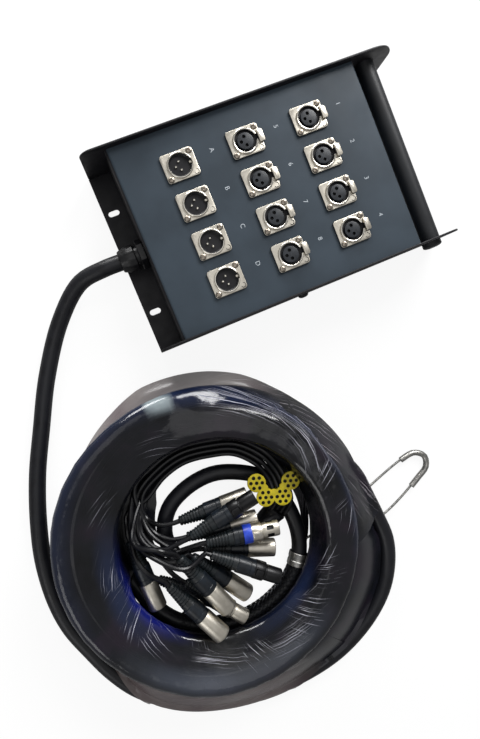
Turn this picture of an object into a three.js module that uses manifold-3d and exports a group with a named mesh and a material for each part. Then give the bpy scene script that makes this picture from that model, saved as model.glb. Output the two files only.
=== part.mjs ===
// Stage box snake: a low metal box with twelve panel connectors, a coiled multicore cable and a
// fan-out of twelve tails with cable connectors. Millimetres, +Z up, the box stands on z = 0.
// The origin is on the floor, midway between the gland's tip and the side plates' handle end.
import * as THREE from "three";
import { mergeVertices } from "three/addons/utils/BufferGeometryUtils.js";
import Module from "manifold-3d";

const wasm = await Module();
wasm.setup();

// General
const clearance = 0.3;
const overrun = 1;
const weldDistance = 0.0001;
const roundSides = 14;
const smallSides = 6;
const plugSides = 12;
const bendSteps = 3;
const cornerSteps = 6;

// Sheet-metal box
const sheet = 2;
const plateThickness = 2;
const plateLength = 335.3;
const plateHeight = 70;
const innerWidth = 193.6;
const plateFrontCorner = 12;
const plateRearCorner = 28;
const panelLength = 262;
const panelHeight = 62;
const stripWidth = 24.1;
const bendRadius = 4;
const trayLipHeight = 25;
const slotLength = 12;
const slotWidth = 6;
const slotSpacing = 111;
const slotFromEdge = 10.7;

// Handle tube
const handleRadius = 9.6;
const handleStandOut = 5;
const capHeight = 2;
const capRadius = 7;

// Cable gland
const glandReach = 27;
const glandHeight = 30;
const glandHexRadius = 15.3;
const glandHexThickness = 7;
const glandNeckRadius = 11;
const glandNeckLength = 3;
const glandThreadRadius = 10;
const glandNutThickness = 4;
const domeRadius = 13.4;
const domeTipRadius = 10.5;
const domeShoulder = 5;

// Panel connectors
const columnPitch = 68;
const rowPitch = 39;
const firstColumn = 61.2;
const flangeLength = 33.2;
const flangeWidth = 27.7;
const flangeCorner = 3;
const flangeThickness = 2.2;
const rimHeight = 1.8;
const rimRadius = 12.7;
const rimGapWidth = 8;
const barrelRadius = 12.1;
const screwAlong = 13;
const screwAcross = 10.4;
const screwHeadRadius = 2.8;
const screwHeadHeight = 1.4;
const shellDepth = 20;
const shellFloor = 2;
const socketRadius = 11;
const insertRadius = 8.1;
const insertRecess = 1;
const contactCircle = 4.2;
const contactHoleRadius = 1.5;
const contactHoleDepth = 10;
const cupMouthRadius = 11.3;
const cupRadius = 9.8;
const cupLeadIn = 2;
const pinRadius = 1.2;
const pinBase = 4;
const pinRecess = 2;
const latchTravel = 1.5;
const latchLength = 6.1;
const latchWidth = 12.3;
const latchFrontHeight = 2.2;
const latchRearHeight = 3.2;

// Cable connectors
const bootLength = 28;
const bootStartRadius = 5;
const bootEndRadius = 8;
const collarRadius = 9;
const collarLength = 18;
const barrelOuter = 9.5;
const plugLength = 75;
const noseRadius = 8;
const noseLength = 17;
const plugCupRadius = 8;
const plugCupDepth = 15;
const plugPinRecess = 1.5;
const pressTravel = 1.2;
const pressLength = 8;
const pressWidth = 6;
const pressThickness = 2.6;
const pressStandOut = 0.7;
const pressFromNose = 2.5;

// Multicore cable and its coil
const cableDiameter = 17;
const turnGap = 1;
const layerGap = 0.6;
const innerRadius = 105;
const stepsPerTurn = 24;
const coilSides = 6;
const cableSides = 8;
const turnsPerLayer = 2;
const reversalAngle = 250;
const coilStart = 20;
const climbEnd = 125;
const joinEnd = 230;
const coilEnd = 2345;
const leaveAngle = 2285;
const leaveInward = 8;
const wireRadius = 1;
const liftStart = 270;
const liftFull = 310;
const liftFade = 356;
const liftEnd = 396;

// Tails and their breakout
const tailRadius = 2.6;
const tailSides = 6;
const tailPitch = 5.4;
const breakoutRadius = 11.5;

// Pulling grip
const gripCollarLength = 14;
const gripCollarInner = 9.4;
const gripCollarOuter = 11;
const thimbleRadius = 2.2;
const thimbleShares = [0.4, 0.6];

// Cable comb
const combThickness = 2.4;
const combLobeRadius = 9.7;
const combHoleRadius = 1.9;
const combHolePitch = 6;
const combWebRadius = 5;
const combWebReach = 12.5;
const combTurn = -20;

// Places that follow from the sizes above
const overallLength = glandReach - stripWidth + plateLength;
const wallX = glandReach - overallLength / 2;
const plateStart = wallX - stripWidth;
const plateEnd = plateStart + plateLength;
const panelEnd = wallX + panelLength;
const handleX = plateEnd - plateRearCorner;
const handleZ = plateHeight - plateRearCorner;
const plateInner = innerWidth / 2;
const plateOuter = plateInner + plateThickness;
const bodyHalfWidth = plateInner - clearance;
const cableRadius = cableDiameter / 2;
const turnPitch = cableDiameter + turnGap;
const layerStep = cableDiameter + layerGap;
const outerRadius = innerRadius + turnsPerLayer * turnPitch;
const wireLift = 2 * (wireRadius + clearance);
const flangeBase = panelHeight + clearance;
const flangeTop = flangeBase + flangeThickness;
const rimTop = flangeTop + rimHeight;

// Routes, chosen by hand. The run starts at the gland and goes round outside the coil.
const coilCentre = [-188.5, -298];
const runRoute = [
  [-214, -3, 23],
  [-248, -29, 12],
  [-282.4, -75.1, 8.5],
  [-310, -124.9, 8.5],
  [-331.5, -166, 8.5],
  [-349, -209.2, 8.5],
  [-361, -250, 8.5],
  [-366.2, -293.1, 8.5],
  [-364, -326, 8.5],
  [-355, -357.2, 8.5],
  [-342.8, -390.7, 8.5],
  [-325.5, -420, 8.5],
  [-290, -452, 8.5],
  [-250.4, -471, 8.5],
  [-204, -482, 8.5],
  [-155.9, -484.6, 8.5],
  [-112.1, -478, 9],
  [-71.8, -460, 10.2],
  [-43, -437, 11.1],
  [-25.9, -411.9, 11.1],
  [-17, -385, 11.1],
  [-17.4, -356.9, 11.1],
  [-19.5, -330, 11.1],
  [-22.1, -303.8, 11.1],
];
// The lead follows the coil's inner wall, turns inwards and ends at the breakout.
const leadRoute = [
  [-259.9, -369.4, 10.8],
  [-222.7, -392, 11.2],
  [-179.9, -396.6, 11.3],
  [-139.5, -382.9, 11.3],
  [-115, -359.7, 11.3],
  [-105.1, -331.7, 10],
  [-106.5, -298, 8.5],
  [-118.7, -265.5, 8.5],
  [-146.3, -245.9, 8.5],
  [-170.4, -238.7, 8.5],
  [-200.4, -242.2, 8.5],
  [-224.5, -255.1, 8.5],
  [-238.3, -279.9, 8.5],
  [-233.6, -312, 8.5],
  [-212, -333.6, 8.5],
  [-186, -335, 8.5],
  [-161, -324, 8.5],
];
const breakoutStart = [-138, -309, 10.5];
const breakoutEnd = [-118, -301.5, 17];
// The tails share this route over the lead and along the wall.
const bundleRoute = [
  [-109, -290, 25.4],
  [-107, -276, 25.4],
  [-107, -261, 21],
  [-113, -243, 12],
  [-133, -221, 9],
  [-159.5, -211, 9],
  [-190, -206.5, 9],
  [-218, -212.5, 10],
  [-243, -226, 12],
];
const combPlace = [-111.8, -266.8, 34.2];
const collarNear = [-118, -362, 11.3];
const bailRoute = [
  [-112, -352, 1.3],
  [-96, -350, 1.3],
  [-60, -345, 1.3],
  [-5, -325.6, 1.3],
  [36.2, -313.7, 2.3],
  [52.4, -312.5, 2.3],
  [62.5, -321, 2.3],
  [59.7, -333, 2.3],
  [47.5, -340.2, 2.3],
  [-2.3, -362.1, 1.3],
  [-60, -371, 1.3],
  [-104, -368, 1.3],
  [-112, -364, 1.3],
];
// Each tail's own last points; the final two are its connector's boot and tip.
const tailRoutes = [
  {
    female: true,
    shell: "black",
    ends: [[-256, -258, 30], [-243, -280, 44], [-210.5, -279.9, 46.5], [-136.3, -269.1, 46.5]],
  },
  {
    female: true,
    shell: "silver",
    ends: [
      [-258, -262, 36],
      [-240, -286, 46],
      [-221, -290, 43],
      [-199.2, -292, 46.5],
      [-126, -308.6, 46.5],
    ],
  },
  {
    female: false,
    shell: "silver",
    ends: [[-250, -262, 26], [-228, -292, 36], [-205.5, -303.3, 27.2], [-136.8, -333.5, 27.2]],
  },
  {
    female: true,
    shell: "black",
    ends: [
      [-262, -262, 44],
      [-246, -284, 62],
      [-226, -300, 67],
      [-199.5, -305, 47],
      [-144.4, -356, 47],
    ],
  },
  {
    female: false,
    shell: "silver",
    ends: [[-258, -272, 30], [-236, -297, 44], [-217, -302, 42], [-181.5, -365, 30]],
  },
  {
    female: false,
    shell: "silver",
    ends: [[-264, -262, 48], [-243, -274, 62], [-228, -292, 56], [-204, -362, 49.5]],
  },
  {
    female: true,
    shell: "silver",
    ends: [
      [-252, -262, 20],
      [-251, -287, 25],
      [-245, -310, 29.5],
      [-236, -326.5, 29.4],
      [-193, -388, 29.4],
    ],
  },
  {
    female: false,
    shell: "silver",
    ends: [[-268, -270, 44], [-264, -292, 50], [-249, -315.8, 47.5], [-219.7, -384.8, 48.5]],
  },
  {
    female: false,
    shell: "silver",
    ends: [[-264, -240, 16], [-268, -250, 24], [-270.1, -266, 27.2], [-270.6, -338.8, 27.2]],
  },
  {
    female: false,
    shell: "silver",
    ends: [[-248, -250, 18], [-236, -262, 26], [-216, -266, 27.2], [-142, -271, 27.2]],
  },
  {
    female: false,
    shell: "silver",
    ends: [
      [-258, -250, 10],
      [-270, -280, 5],
      [-271, -303, 7],
      [-262.4, -318.9, 9.8],
      [-209.4, -371.9, 9.8],
    ],
  },
  {
    female: false,
    shell: "silver",
    ends: [[-246, -266, 22], [-232, -280, 27], [-216, -284.5, 27.2], [-142, -297, 27.2]],
  },
];

const black = "#1b1b1e";
const nickel = "#c9c2b5";
const shellColours = { black, silver: nickel };

// A closed mesh made from a geometry, turned to face outwards.
function solid(geometry) {
  const plain = geometry.index ? geometry.toNonIndexed() : geometry.clone();
  plain.deleteAttribute("normal");
  plain.deleteAttribute("uv");
  const merged = mergeVertices(plain, weldDistance);
  const place = merged.attributes.position;
  const index = Array.from(merged.index.array);
  const kept = [];
  let volume = 0;
  for (let i = 0; i < index.length; i += 3) {
    const [a, b, c] = index.slice(i, i + 3);
    if (a === b || b === c || a === c) continue;
    kept.push(a, b, c);
    const p = new THREE.Vector3().fromBufferAttribute(place, a);
    const q = new THREE.Vector3().fromBufferAttribute(place, b);
    const r = new THREE.Vector3().fromBufferAttribute(place, c);
    volume += p.dot(q.cross(r));
  }
  if (volume < 0) kept.reverse();
  return new wasm.Manifold(
    new wasm.Mesh({
      numProp: 3,
      vertProperties: new Float32Array(place.array),
      triVerts: new Uint32Array(kept),
    }),
  );
}

function block(x0, x1, y0, y1, z0, z1) {
  const geometry = new THREE.BoxGeometry(x1 - x0, y1 - y0, z1 - z0);
  geometry.translate((x0 + x1) / 2, (y0 + y1) / 2, (z0 + z1) / 2);
  return solid(geometry);
}

// A solid of revolution about Z from [radius, height] pairs that start and end on the axis.
function turned(profile, sides = roundSides) {
  const points = profile.map(([r, z]) => new THREE.Vector2(r, z));
  const geometry = new THREE.LatheGeometry(points, sides);
  geometry.rotateX(Math.PI / 2);
  return solid(geometry);
}

function rod(radius, z0, z1, sides = roundSides) {
  return turned([[0, z0], [radius, z0], [radius, z1], [0, z1]], sides);
}

function ring(inner, outer, z0, z1, sides = roundSides) {
  return rod(outer, z0, z1, sides).subtract(rod(inner, z0 - overrun, z1 + overrun, sides));
}

// A flat outline with square corners, each [x, y, radius].
function outline(corners, steps) {
  const points = [];
  corners.forEach(([x, y, r], i) => {
    const here = new THREE.Vector2(x, y);
    const last = corners[(i + corners.length - 1) % corners.length];
    const next = corners[(i + 1) % corners.length];
    const back = new THREE.Vector2(last[0], last[1]).sub(here).normalize();
    const ahead = new THREE.Vector2(next[0], next[1]).sub(here).normalize();
    const centre = here.clone().addScaledVector(back, r).addScaledVector(ahead, r);
    const count = r > 0 ? steps : 0;
    for (let k = 0; k <= count; k += 1) {
      const angle = count ? (k / count) * (Math.PI / 2) : 0;
      const point = centre.clone();
      point.addScaledVector(ahead, -r * Math.cos(angle));
      point.addScaledVector(back, -r * Math.sin(angle));
      points.push(point);
    }
  });
  return new THREE.Shape(points);
}

function rectangle(x0, x1, y0, y1, r) {
  return [[x0, y0, r], [x1, y0, r], [x1, y1, r], [x0, y1, r]];
}

// An outline in X and Z made thick along Y, or one in X and Y made thick along Z.
function acrossY(corners, y0, y1, steps) {
  const geometry = new THREE.ExtrudeGeometry(outline(corners, steps), {
    depth: y1 - y0,
    bevelEnabled: false,
  });
  geometry.rotateX(Math.PI / 2);
  geometry.translate(0, y1, 0);
  return solid(geometry);
}

function upwards(corners, z0, z1, steps) {
  const geometry = new THREE.ExtrudeGeometry(outline(corners, steps), {
    depth: z1 - z0,
    bevelEnabled: false,
  });
  geometry.translate(0, 0, z0);
  return solid(geometry);
}

// A tube through points, one radius for each point.
function tube(points, radii, sides) {
  const up = new THREE.Vector3(0, 0, 1);
  const vertices = [];
  points.forEach((point, i) => {
    const back = point.clone().sub(points[Math.max(i - 1, 0)]).normalize();
    const ahead = points[Math.min(i + 1, points.length - 1)].clone().sub(point).normalize();
    const along = back.add(ahead).normalize();
    const side = new THREE.Vector3().crossVectors(along, up).normalize();
    const top = new THREE.Vector3().crossVectors(side, along);
    for (let k = 0; k < sides; k += 1) {
      const angle = (2 * Math.PI * k) / sides;
      const corner = point.clone();
      corner.addScaledVector(top, radii[i] * Math.cos(angle));
      corner.addScaledVector(side, radii[i] * Math.sin(angle));
      vertices.push(...corner.toArray());
    }
  });
  const first = vertices.length / 3;
  vertices.push(...points[0].toArray(), ...points[points.length - 1].toArray());
  const index = [];
  for (let i = 0; i + 1 < points.length; i += 1) {
    for (let k = 0; k < sides; k += 1) {
      const a = i * sides + k;
      const b = i * sides + ((k + 1) % sides);
      index.push(a, b, a + sides, b, b + sides, a + sides);
    }
  }
  for (let k = 0; k < sides; k += 1) {
    const next = (k + 1) % sides;
    const end = (points.length - 1) * sides;
    index.push(first, next, k, first + 1, end + k, end + next);
  }
  const geometry = new THREE.BufferGeometry();
  geometry.setAttribute("position", new THREE.Float32BufferAttribute(vertices, 3));
  geometry.setIndex(index);
  return solid(geometry);
}

function evenTube(points, radius, sides) {
  return tube(points, points.map(() => radius), sides);
}

function vector([x, y, z]) {
  return new THREE.Vector3(x, y, z);
}

// Points along a smooth curve through the given ones, about one step apart, none under the floor.
function smooth(points, step, radius) {
  const curve = new THREE.CatmullRomCurve3(points, false, "centripetal");
  const found = curve.getSpacedPoints(Math.max(2, Math.round(curve.getLength() / step)));
  return found.map((point) => point.setZ(Math.max(point.z, radius)));
}

// Turns a solid built along X, with Z as its top, to lie from one point towards another.
function laid(body, from, towards) {
  const along = towards.clone().sub(from).normalize();
  const side = new THREE.Vector3().crossVectors(new THREE.Vector3(0, 0, 1), along).normalize();
  const top = new THREE.Vector3().crossVectors(along, side);
  const matrix = new THREE.Matrix4().makeBasis(along, side, top).setPosition(from);
  return body.transform(matrix.toArray());
}

const root = new THREE.Group();
root.name = "stage_box_snake";

function add(name, body, color, roughness, metalness) {
  const made = body.getMesh();
  const count = made.numVert;
  const place = new Float32Array(count * 3);
  for (let i = 0; i < count; i += 1) {
    for (let k = 0; k < 3; k += 1) place[i * 3 + k] = made.vertProperties[i * made.numProp + k];
  }
  const geometry = new THREE.BufferGeometry();
  geometry.setAttribute("position", new THREE.BufferAttribute(place, 3));
  geometry.setIndex(new THREE.BufferAttribute(new Uint32Array(made.triVerts), 1));
  geometry.computeVertexNormals();
  const material = new THREE.MeshStandardMaterial({ color, roughness, metalness });
  const mesh = new THREE.Mesh(geometry, material);
  mesh.name = name;
  root.add(mesh);
}

// Box: base tray with turned-up lips
const trayStart = wallX + sheet + clearance;
const trayEnd = panelEnd - sheet - clearance;
let tray = block(trayStart, trayEnd, -bodyHalfWidth, bodyHalfWidth, 0, sheet);
for (const side of [-1, 1]) {
  const y0 = side * bodyHalfWidth;
  const y1 = side * (bodyHalfWidth - sheet);
  tray = tray.add(block(trayStart, trayEnd, Math.min(y0, y1), Math.max(y0, y1), 0, trayLipHeight));
}
add("base_tray", tray, "#1f1e26", 0.55, 0.4);

// Box: one folded sheet with strip, gland wall, panel and end wall
const panelProfile = [
  [plateStart, 0, 0],
  [wallX + sheet, 0, 0],
  [wallX + sheet, panelHeight - sheet, bendRadius - sheet],
  [panelEnd - sheet, panelHeight - sheet, bendRadius - sheet],
  [panelEnd - sheet, 0, 0],
  [panelEnd, 0, 0],
  [panelEnd, panelHeight, bendRadius],
  [wallX, panelHeight, bendRadius],
  [wallX, sheet, 0],
  [plateStart, sheet, 0],
];
let panel = acrossY(panelProfile, -bodyHalfWidth, bodyHalfWidth, bendSteps);
const slotX = plateStart + slotFromEdge;
for (const side of [-1, 1]) {
  const y = (side * slotSpacing) / 2;
  const corners = rectangle(
    slotX - slotLength / 2,
    slotX + slotLength / 2,
    y - slotWidth / 2,
    y + slotWidth / 2,
    slotWidth / 2,
  );
  panel = panel.subtract(upwards(corners, -overrun, sheet + overrun, bendSteps));
}
const places = [];
for (let column = 0; column < 3; column += 1) {
  for (let row = 0; row < 4; row += 1) {
    const x = wallX + firstColumn + column * columnPitch;
    const y = (1.5 - row) * rowPitch;
    places.push({ column, row, x, y });
    const hole = rod(barrelRadius + clearance, panelHeight - sheet - overrun, panelHeight + overrun);
    panel = panel.subtract(hole.translate([x, y, 0]));
  }
}
const glandHole = rod(glandThreadRadius + clearance, -overrun, sheet + overrun);
panel = panel.subtract(glandHole.rotate([0, 90, 0]).translate([wallX, 0, glandHeight]));
add("connector_panel", panel, "#46505c", 0.45, 0.5);

// Box: side plates
const plateCorners = [
  [plateStart, 0, plateFrontCorner],
  [plateEnd, 0, plateFrontCorner],
  [plateEnd, plateHeight, plateRearCorner],
  [plateStart, plateHeight, plateFrontCorner],
];
const tubeHole = rod(handleRadius + clearance, -plateOuter - overrun, plateOuter + overrun)
  .rotate([90, 0, 0])
  .translate([handleX, 0, handleZ]);
for (const [name, side] of [["side_plate_left", 1], ["side_plate_right", -1]]) {
  const y0 = side > 0 ? plateInner : -plateOuter;
  const plate = acrossY(plateCorners, y0, y0 + plateThickness, cornerSteps);
  add(name, plate.subtract(tubeHole), "#1f1e26", 0.5, 0.4);
}

// Handle tube with domed end caps
const tubeEnd = plateOuter + handleStandOut;
const handle = turned([
  [0, -tubeEnd - capHeight],
  [capRadius, -tubeEnd - capHeight],
  [handleRadius, -tubeEnd],
  [handleRadius, tubeEnd],
  [capRadius, tubeEnd + capHeight],
  [0, tubeEnd + capHeight],
]);
add("handle_tube", handle.rotate([90, 0, 0]).translate([handleX, 0, handleZ]), "#1c1c20", 0.4, 0.5);

// Cable gland, built along Z from the wall's outside and turned to point along -X
const hexEnd = clearance + glandHexThickness;
const neckEnd = hexEnd + glandNeckLength;
const glandBody = rod(glandHexRadius, clearance, hexEnd, 6)
  .add(rod(glandNeckRadius, clearance, neckEnd))
  .add(rod(glandThreadRadius, -sheet - clearance - glandNutThickness, hexEnd))
  .add(rod(glandHexRadius, -sheet - clearance - glandNutThickness, -sheet - clearance, 6));
const dome = turned([
  [0, neckEnd + clearance],
  [domeRadius, neckEnd + clearance],
  [domeRadius, neckEnd + clearance + domeShoulder],
  [(domeRadius + domeTipRadius) / 2, glandReach - (glandReach - neckEnd) / 4],
  [domeTipRadius, glandReach],
  [0, glandReach],
]);
const towardsCable = (body) => body.rotate([0, -90, 0]).translate([wallX, 0, glandHeight]);
add("gland_body", towardsCable(glandBody), black, 0.5, 0);
add("gland_dome_nut", towardsCable(dome), black, 0.45, 0);

// Panel connectors
const flangeCorners = rectangle(
  -flangeLength / 2,
  flangeLength / 2,
  -flangeWidth / 2,
  flangeWidth / 2,
  flangeCorner,
);
const boreFloor = rimTop - shellDepth;
const latchStart = rimRadius + 2 * clearance;
function flangeBody(withNotch) {
  let body = upwards(flangeCorners, flangeBase, flangeTop, 2);
  if (withNotch) {
    const half = latchWidth / 2 + clearance;
    const from = latchStart - clearance;
    const to = flangeLength / 2 + overrun;
    body = body.subtract(block(from, to, -half, half, flangeBase - overrun, flangeTop + overrun));
  }
  for (const side of [-1, 1]) {
    const head = rod(screwHeadRadius, flangeBase, flangeTop + screwHeadHeight, smallSides);
    body = body.add(head.translate([side * screwAlong, side * screwAcross, 0]));
  }
  body = body.add(rod(rimRadius, flangeBase, rimTop));
  return body.add(rod(barrelRadius, boreFloor - shellFloor, flangeTop));
}
const contactSpots = [[0, contactCircle], [0, -contactCircle], [-contactCircle, 0]];
function contacts(radius, z0, z1) {
  return contactSpots.map(([x, y]) => rod(radius, z0, z1, smallSides).translate([x, y, 0]));
}
const rimGap = block(0, latchStart, -rimGapWidth / 2, rimGapWidth / 2, flangeTop, rimTop + overrun);
const socketBore = rod(socketRadius, boreFloor, rimTop + overrun);
const socketShell = flangeBody(true).subtract(rimGap).subtract(socketBore);
const socketTop = rimTop - insertRecess;
let socketInsert = rod(insertRadius, boreFloor + clearance, socketTop);
for (const hole of contacts(contactHoleRadius, socketTop - contactHoleDepth, rimTop)) {
  socketInsert = socketInsert.subtract(hole);
}
const cup = turned([
  [0, boreFloor],
  [cupRadius, boreFloor],
  [cupRadius, rimTop - cupLeadIn],
  [cupMouthRadius, rimTop],
  [cupMouthRadius, rimTop + overrun],
  [0, rimTop + overrun],
]);
const plugShell = flangeBody(false).subtract(cup);
const plugInsertRadius = cupRadius - clearance;
let plugInsert = rod(plugInsertRadius, boreFloor + clearance, boreFloor + clearance + pinBase);
for (const pin of contacts(pinRadius, boreFloor + pinBase / 2, rimTop - pinRecess)) {
  plugInsert = plugInsert.add(pin);
}
const latchBottom = panelHeight + clearance + latchTravel;
const latchProfile = [
  [latchStart, latchBottom],
  [latchStart + latchLength, latchBottom],
  [latchStart + latchLength, latchBottom + latchFrontHeight],
  [latchStart + latchLength / 2, latchBottom + latchRearHeight],
  [latchStart, latchBottom + latchRearHeight],
].map(([x, z]) => [x, z, 0]);
const panelLatch = acrossY(latchProfile, -latchWidth / 2, latchWidth / 2, 1);
for (const { column, row, x, y } of places) {
  const move = (body) => body.translate([x, y, 0]);
  if (column === 0) {
    const letter = "abcd"[row];
    add("plug_" + letter + "_shell", move(plugShell), nickel, 0.3, 1);
    add("plug_" + letter + "_insert", move(plugInsert), black, 0.5, 0);
  } else {
    const number = row + 1 + (column === 1 ? 4 : 0);
    add("socket_" + number + "_shell", move(socketShell), nickel, 0.3, 1);
    add("socket_" + number + "_insert", move(socketInsert), black, 0.5, 0);
    add("socket_" + number + "_latch", move(panelLatch), nickel, 0.35, 1);
  }
}

// Coil: radius and height of the cable at a winding angle in degrees
function ease(value, from, to) {
  const t = Math.min(Math.max((value - from) / (to - from), 0), 1);
  return t * t * (3 - 2 * t);
}
const turnsBetween = turnsPerLayer * 360;
function waveRadius(angle) {
  const turns = Math.abs(angle - reversalAngle) / 360;
  const within = turns % (2 * turnsPerLayer);
  const out = within > turnsPerLayer ? 2 * turnsPerLayer - within : within;
  return outerRadius - turnPitch * out;
}
function lift(angle) {
  const turn = ((angle % 360) + 360) % 360;
  const later = turn + 360;
  const value = (t) => ease(t, liftStart, liftFull) * (1 - ease(t, liftFade, liftEnd));
  return wireLift * Math.max(value(turn), value(later));
}
function coilPoint(angle) {
  const past = (angle + 360 - reversalAngle) % 360;
  const outside = outerRadius + turnPitch * (1 - Math.min(past, 360 - past) / 360);
  const join = ease(angle, climbEnd, joinEnd);
  const leave = Math.max(0, (angle - leaveAngle) / (coilEnd - leaveAngle));
  const radius = outside * (1 - join) + waveRadius(angle) * join - leaveInward * leave * leave;
  let level = 3 * ease(angle, coilStart, climbEnd);
  for (let k = 0; k < 3; k += 1) {
    const middle = reversalAngle + k * turnsBetween;
    level -= ease(angle, middle - 90, middle + 90);
  }
  const turn = (angle * Math.PI) / 180;
  return new THREE.Vector3(
    coilCentre[0] + radius * Math.cos(turn),
    coilCentre[1] + radius * Math.sin(turn),
    cableRadius + level * layerStep + lift(angle),
  );
}
function ahead(from, towards, distance) {
  return towards.clone().sub(from).normalize().multiplyScalar(distance).add(towards);
}
const windings = [];
for (let angle = coilStart; angle <= coilEnd; angle += 360 / stepsPerTurn) {
  windings.push(coilPoint(angle));
}
const justAfter = coilPoint(coilStart + 1);
const coilFirst = ahead(justAfter, windings[0], cableDiameter);
const justBefore = coilPoint(coilEnd - 1);
const coilLast = ahead(justBefore, windings[windings.length - 1], cableDiameter);
const coilPoints = [coilFirst, ...windings, coilLast];
let leastGap = Infinity;
for (let i = 0; i < coilPoints.length; i += 1) {
  for (let k = i + stepsPerTurn / 2; k < coilPoints.length - 1; k += 1) {
    const line = new THREE.Line3(coilPoints[k], coilPoints[k + 1]);
    const near = line.closestPointToPoint(coilPoints[i], true, new THREE.Vector3());
    leastGap = Math.min(leastGap, near.distanceTo(coilPoints[i]) - cableDiameter);
  }
}
console.log("coil: least gap to itself " + leastGap.toFixed(2) + " mm");
add("multicore_coil", evenTube(coilPoints, cableRadius, coilSides), black, 0.55, 0);

// Run from the gland to the coil, and the lead from the coil to the breakout
const runStart = new THREE.Vector3(wallX - glandReach - clearance, 0, glandHeight);
const runStraight = runStart.clone().setX(runStart.x - cableDiameter);
const runEnd = ahead(windings[0], coilFirst, clearance);
const runEndStraight = ahead(windings[0], coilFirst, clearance + cableDiameter);
const runMiddle = smooth(
  [runStraight, ...runRoute.map(vector), runEndStraight],
  2.2 * cableDiameter,
  cableRadius,
);
add("multicore_run", evenTube([runStart, ...runMiddle, runEnd], cableRadius, cableSides), black, 0.55, 0);

const leadStart = ahead(windings[windings.length - 1], coilLast, clearance);
const leadStraight = ahead(windings[windings.length - 1], coilLast, clearance + cableDiameter);
const bootFrom = vector(breakoutStart);
const bootTo = vector(breakoutEnd);
const leadPoints = [leadStraight, ...leadRoute.map(vector), bootFrom];
const leadMiddle = smooth(leadPoints, 1.6 * cableDiameter, cableRadius);
let fan = evenTube([leadStart, ...leadMiddle], cableRadius, cableSides);
const bootMiddle = bootFrom.clone().lerp(bootTo, 0.5);
const bootBack = ahead(bootTo, bootFrom, overrun);
const bootRadii = [cableRadius + overrun, breakoutRadius, breakoutRadius];
fan = fan.add(tube([bootBack, bootMiddle, bootTo], bootRadii, cableSides));

// Tails: slots in the shared bundle, then their own ends
const slots = [];
for (let row = 0; row < 3; row += 1) {
  for (let column = 0; column < 4; column += 1) slots.push([column - 1.5, row - 1]);
}
function beside(points, i, [across, high]) {
  const from = points[Math.max(i - 1, 0)];
  const to = points[Math.min(i + 1, points.length - 1)];
  const along = to.clone().sub(from).normalize();
  const side = new THREE.Vector3().crossVectors(along, new THREE.Vector3(0, 0, 1)).normalize();
  const point = points[i].clone().addScaledVector(side, across * tailPitch);
  return point.setZ(point.z + high * tailPitch);
}
const bundle = [bootTo, ...bundleRoute.map(vector)];
const plugMale = turned([
  [0, 0],
  [bootStartRadius, 0],
  [bootEndRadius, bootLength],
  [collarRadius, bootLength],
  [collarRadius, bootLength + collarLength],
  [barrelOuter, bootLength + collarLength],
  [barrelOuter, plugLength],
  [plugCupRadius, plugLength],
  [plugCupRadius, plugLength - plugCupDepth],
  [0, plugLength - plugCupDepth],
], plugSides);
let maleBody = plugMale;
const cupFloor = plugLength - plugCupDepth;
for (const pin of contacts(pinRadius, cupFloor - overrun, plugLength - plugPinRecess)) {
  maleBody = maleBody.add(pin);
}
const noseStart = plugLength - noseLength;
let femaleBody = turned([
  [0, 0],
  [bootStartRadius, 0],
  [bootEndRadius, bootLength],
  [collarRadius, bootLength],
  [collarRadius, bootLength + collarLength],
  [barrelOuter, bootLength + collarLength],
  [barrelOuter, noseStart],
  [noseRadius, noseStart],
  [noseRadius, plugLength],
  [0, plugLength],
], plugSides);
for (const hole of contacts(contactHoleRadius, plugLength - contactHoleDepth, plugLength + overrun)) {
  femaleBody = femaleBody.subtract(hole);
}
// A solid built along Z is laid along X, its third contact lowest, across from the latch.
const alongX = (body) => body.rotate([0, 0, 180]).rotate([0, 90, 0]);
const pressEnd = noseStart - pressFromNose;
const pressTop = barrelOuter + pressStandOut;
const pressBottom = pressTop - pressThickness;
const pocketFloor = pressBottom - pressTravel - clearance;
const pocket = block(
  pressEnd - pressLength - clearance,
  pressEnd + clearance,
  -pressWidth / 2 - clearance,
  pressWidth / 2 + clearance,
  pocketFloor,
  pressTop + overrun,
);
const pressStart = pressEnd - pressLength;
const pressHalf = pressWidth / 2;
const press = block(pressStart, pressEnd, -pressHalf, pressHalf, pressBottom, pressTop);
const maleAlong = alongX(maleBody);
const femaleAlong = alongX(femaleBody).subtract(pocket);
const names = [
  "one",
  "two",
  "three",
  "four",
  "five",
  "six",
  "seven",
  "eight",
  "nine",
  "ten",
  "eleven",
  "twelve",
];
tailRoutes.forEach(({ female, shell, ends }, i) => {
  const tip = vector(ends[ends.length - 1]);
  const aimed = vector(ends[ends.length - 2]);
  const boot = ahead(aimed, tip, -plugLength);
  const tailEnd = ahead(tip, boot, clearance);
  const tailStraight = ahead(tip, boot, clearance + 2 * tailRadius);
  const points = bundle.map((_, k) => beside(bundle, k, slots[i]));
  points.push(...ends.slice(0, -2).map(vector), tailStraight);
  const tail = [...smooth(points, 6 * tailRadius, tailRadius), tailEnd];
  fan = fan.add(evenTube(tail, tailRadius, tailSides));
  const body = laid(female ? femaleAlong : maleAlong, boot, tip);
  add("cable_connector_" + names[i], body, shellColours[shell], 0.3, 1);
  if (female) add("cable_latch_" + names[i], laid(press, boot, tip), "#8f8b84", 0.4, 1);
});
// Tails that touch close small gaps between them; the outer body alone is kept.
const fanBodies = fan.decompose().sort((a, b) => b.volume() - a.volume());
add("fan_out", fanBodies[0], black, 0.6, 0);

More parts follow.
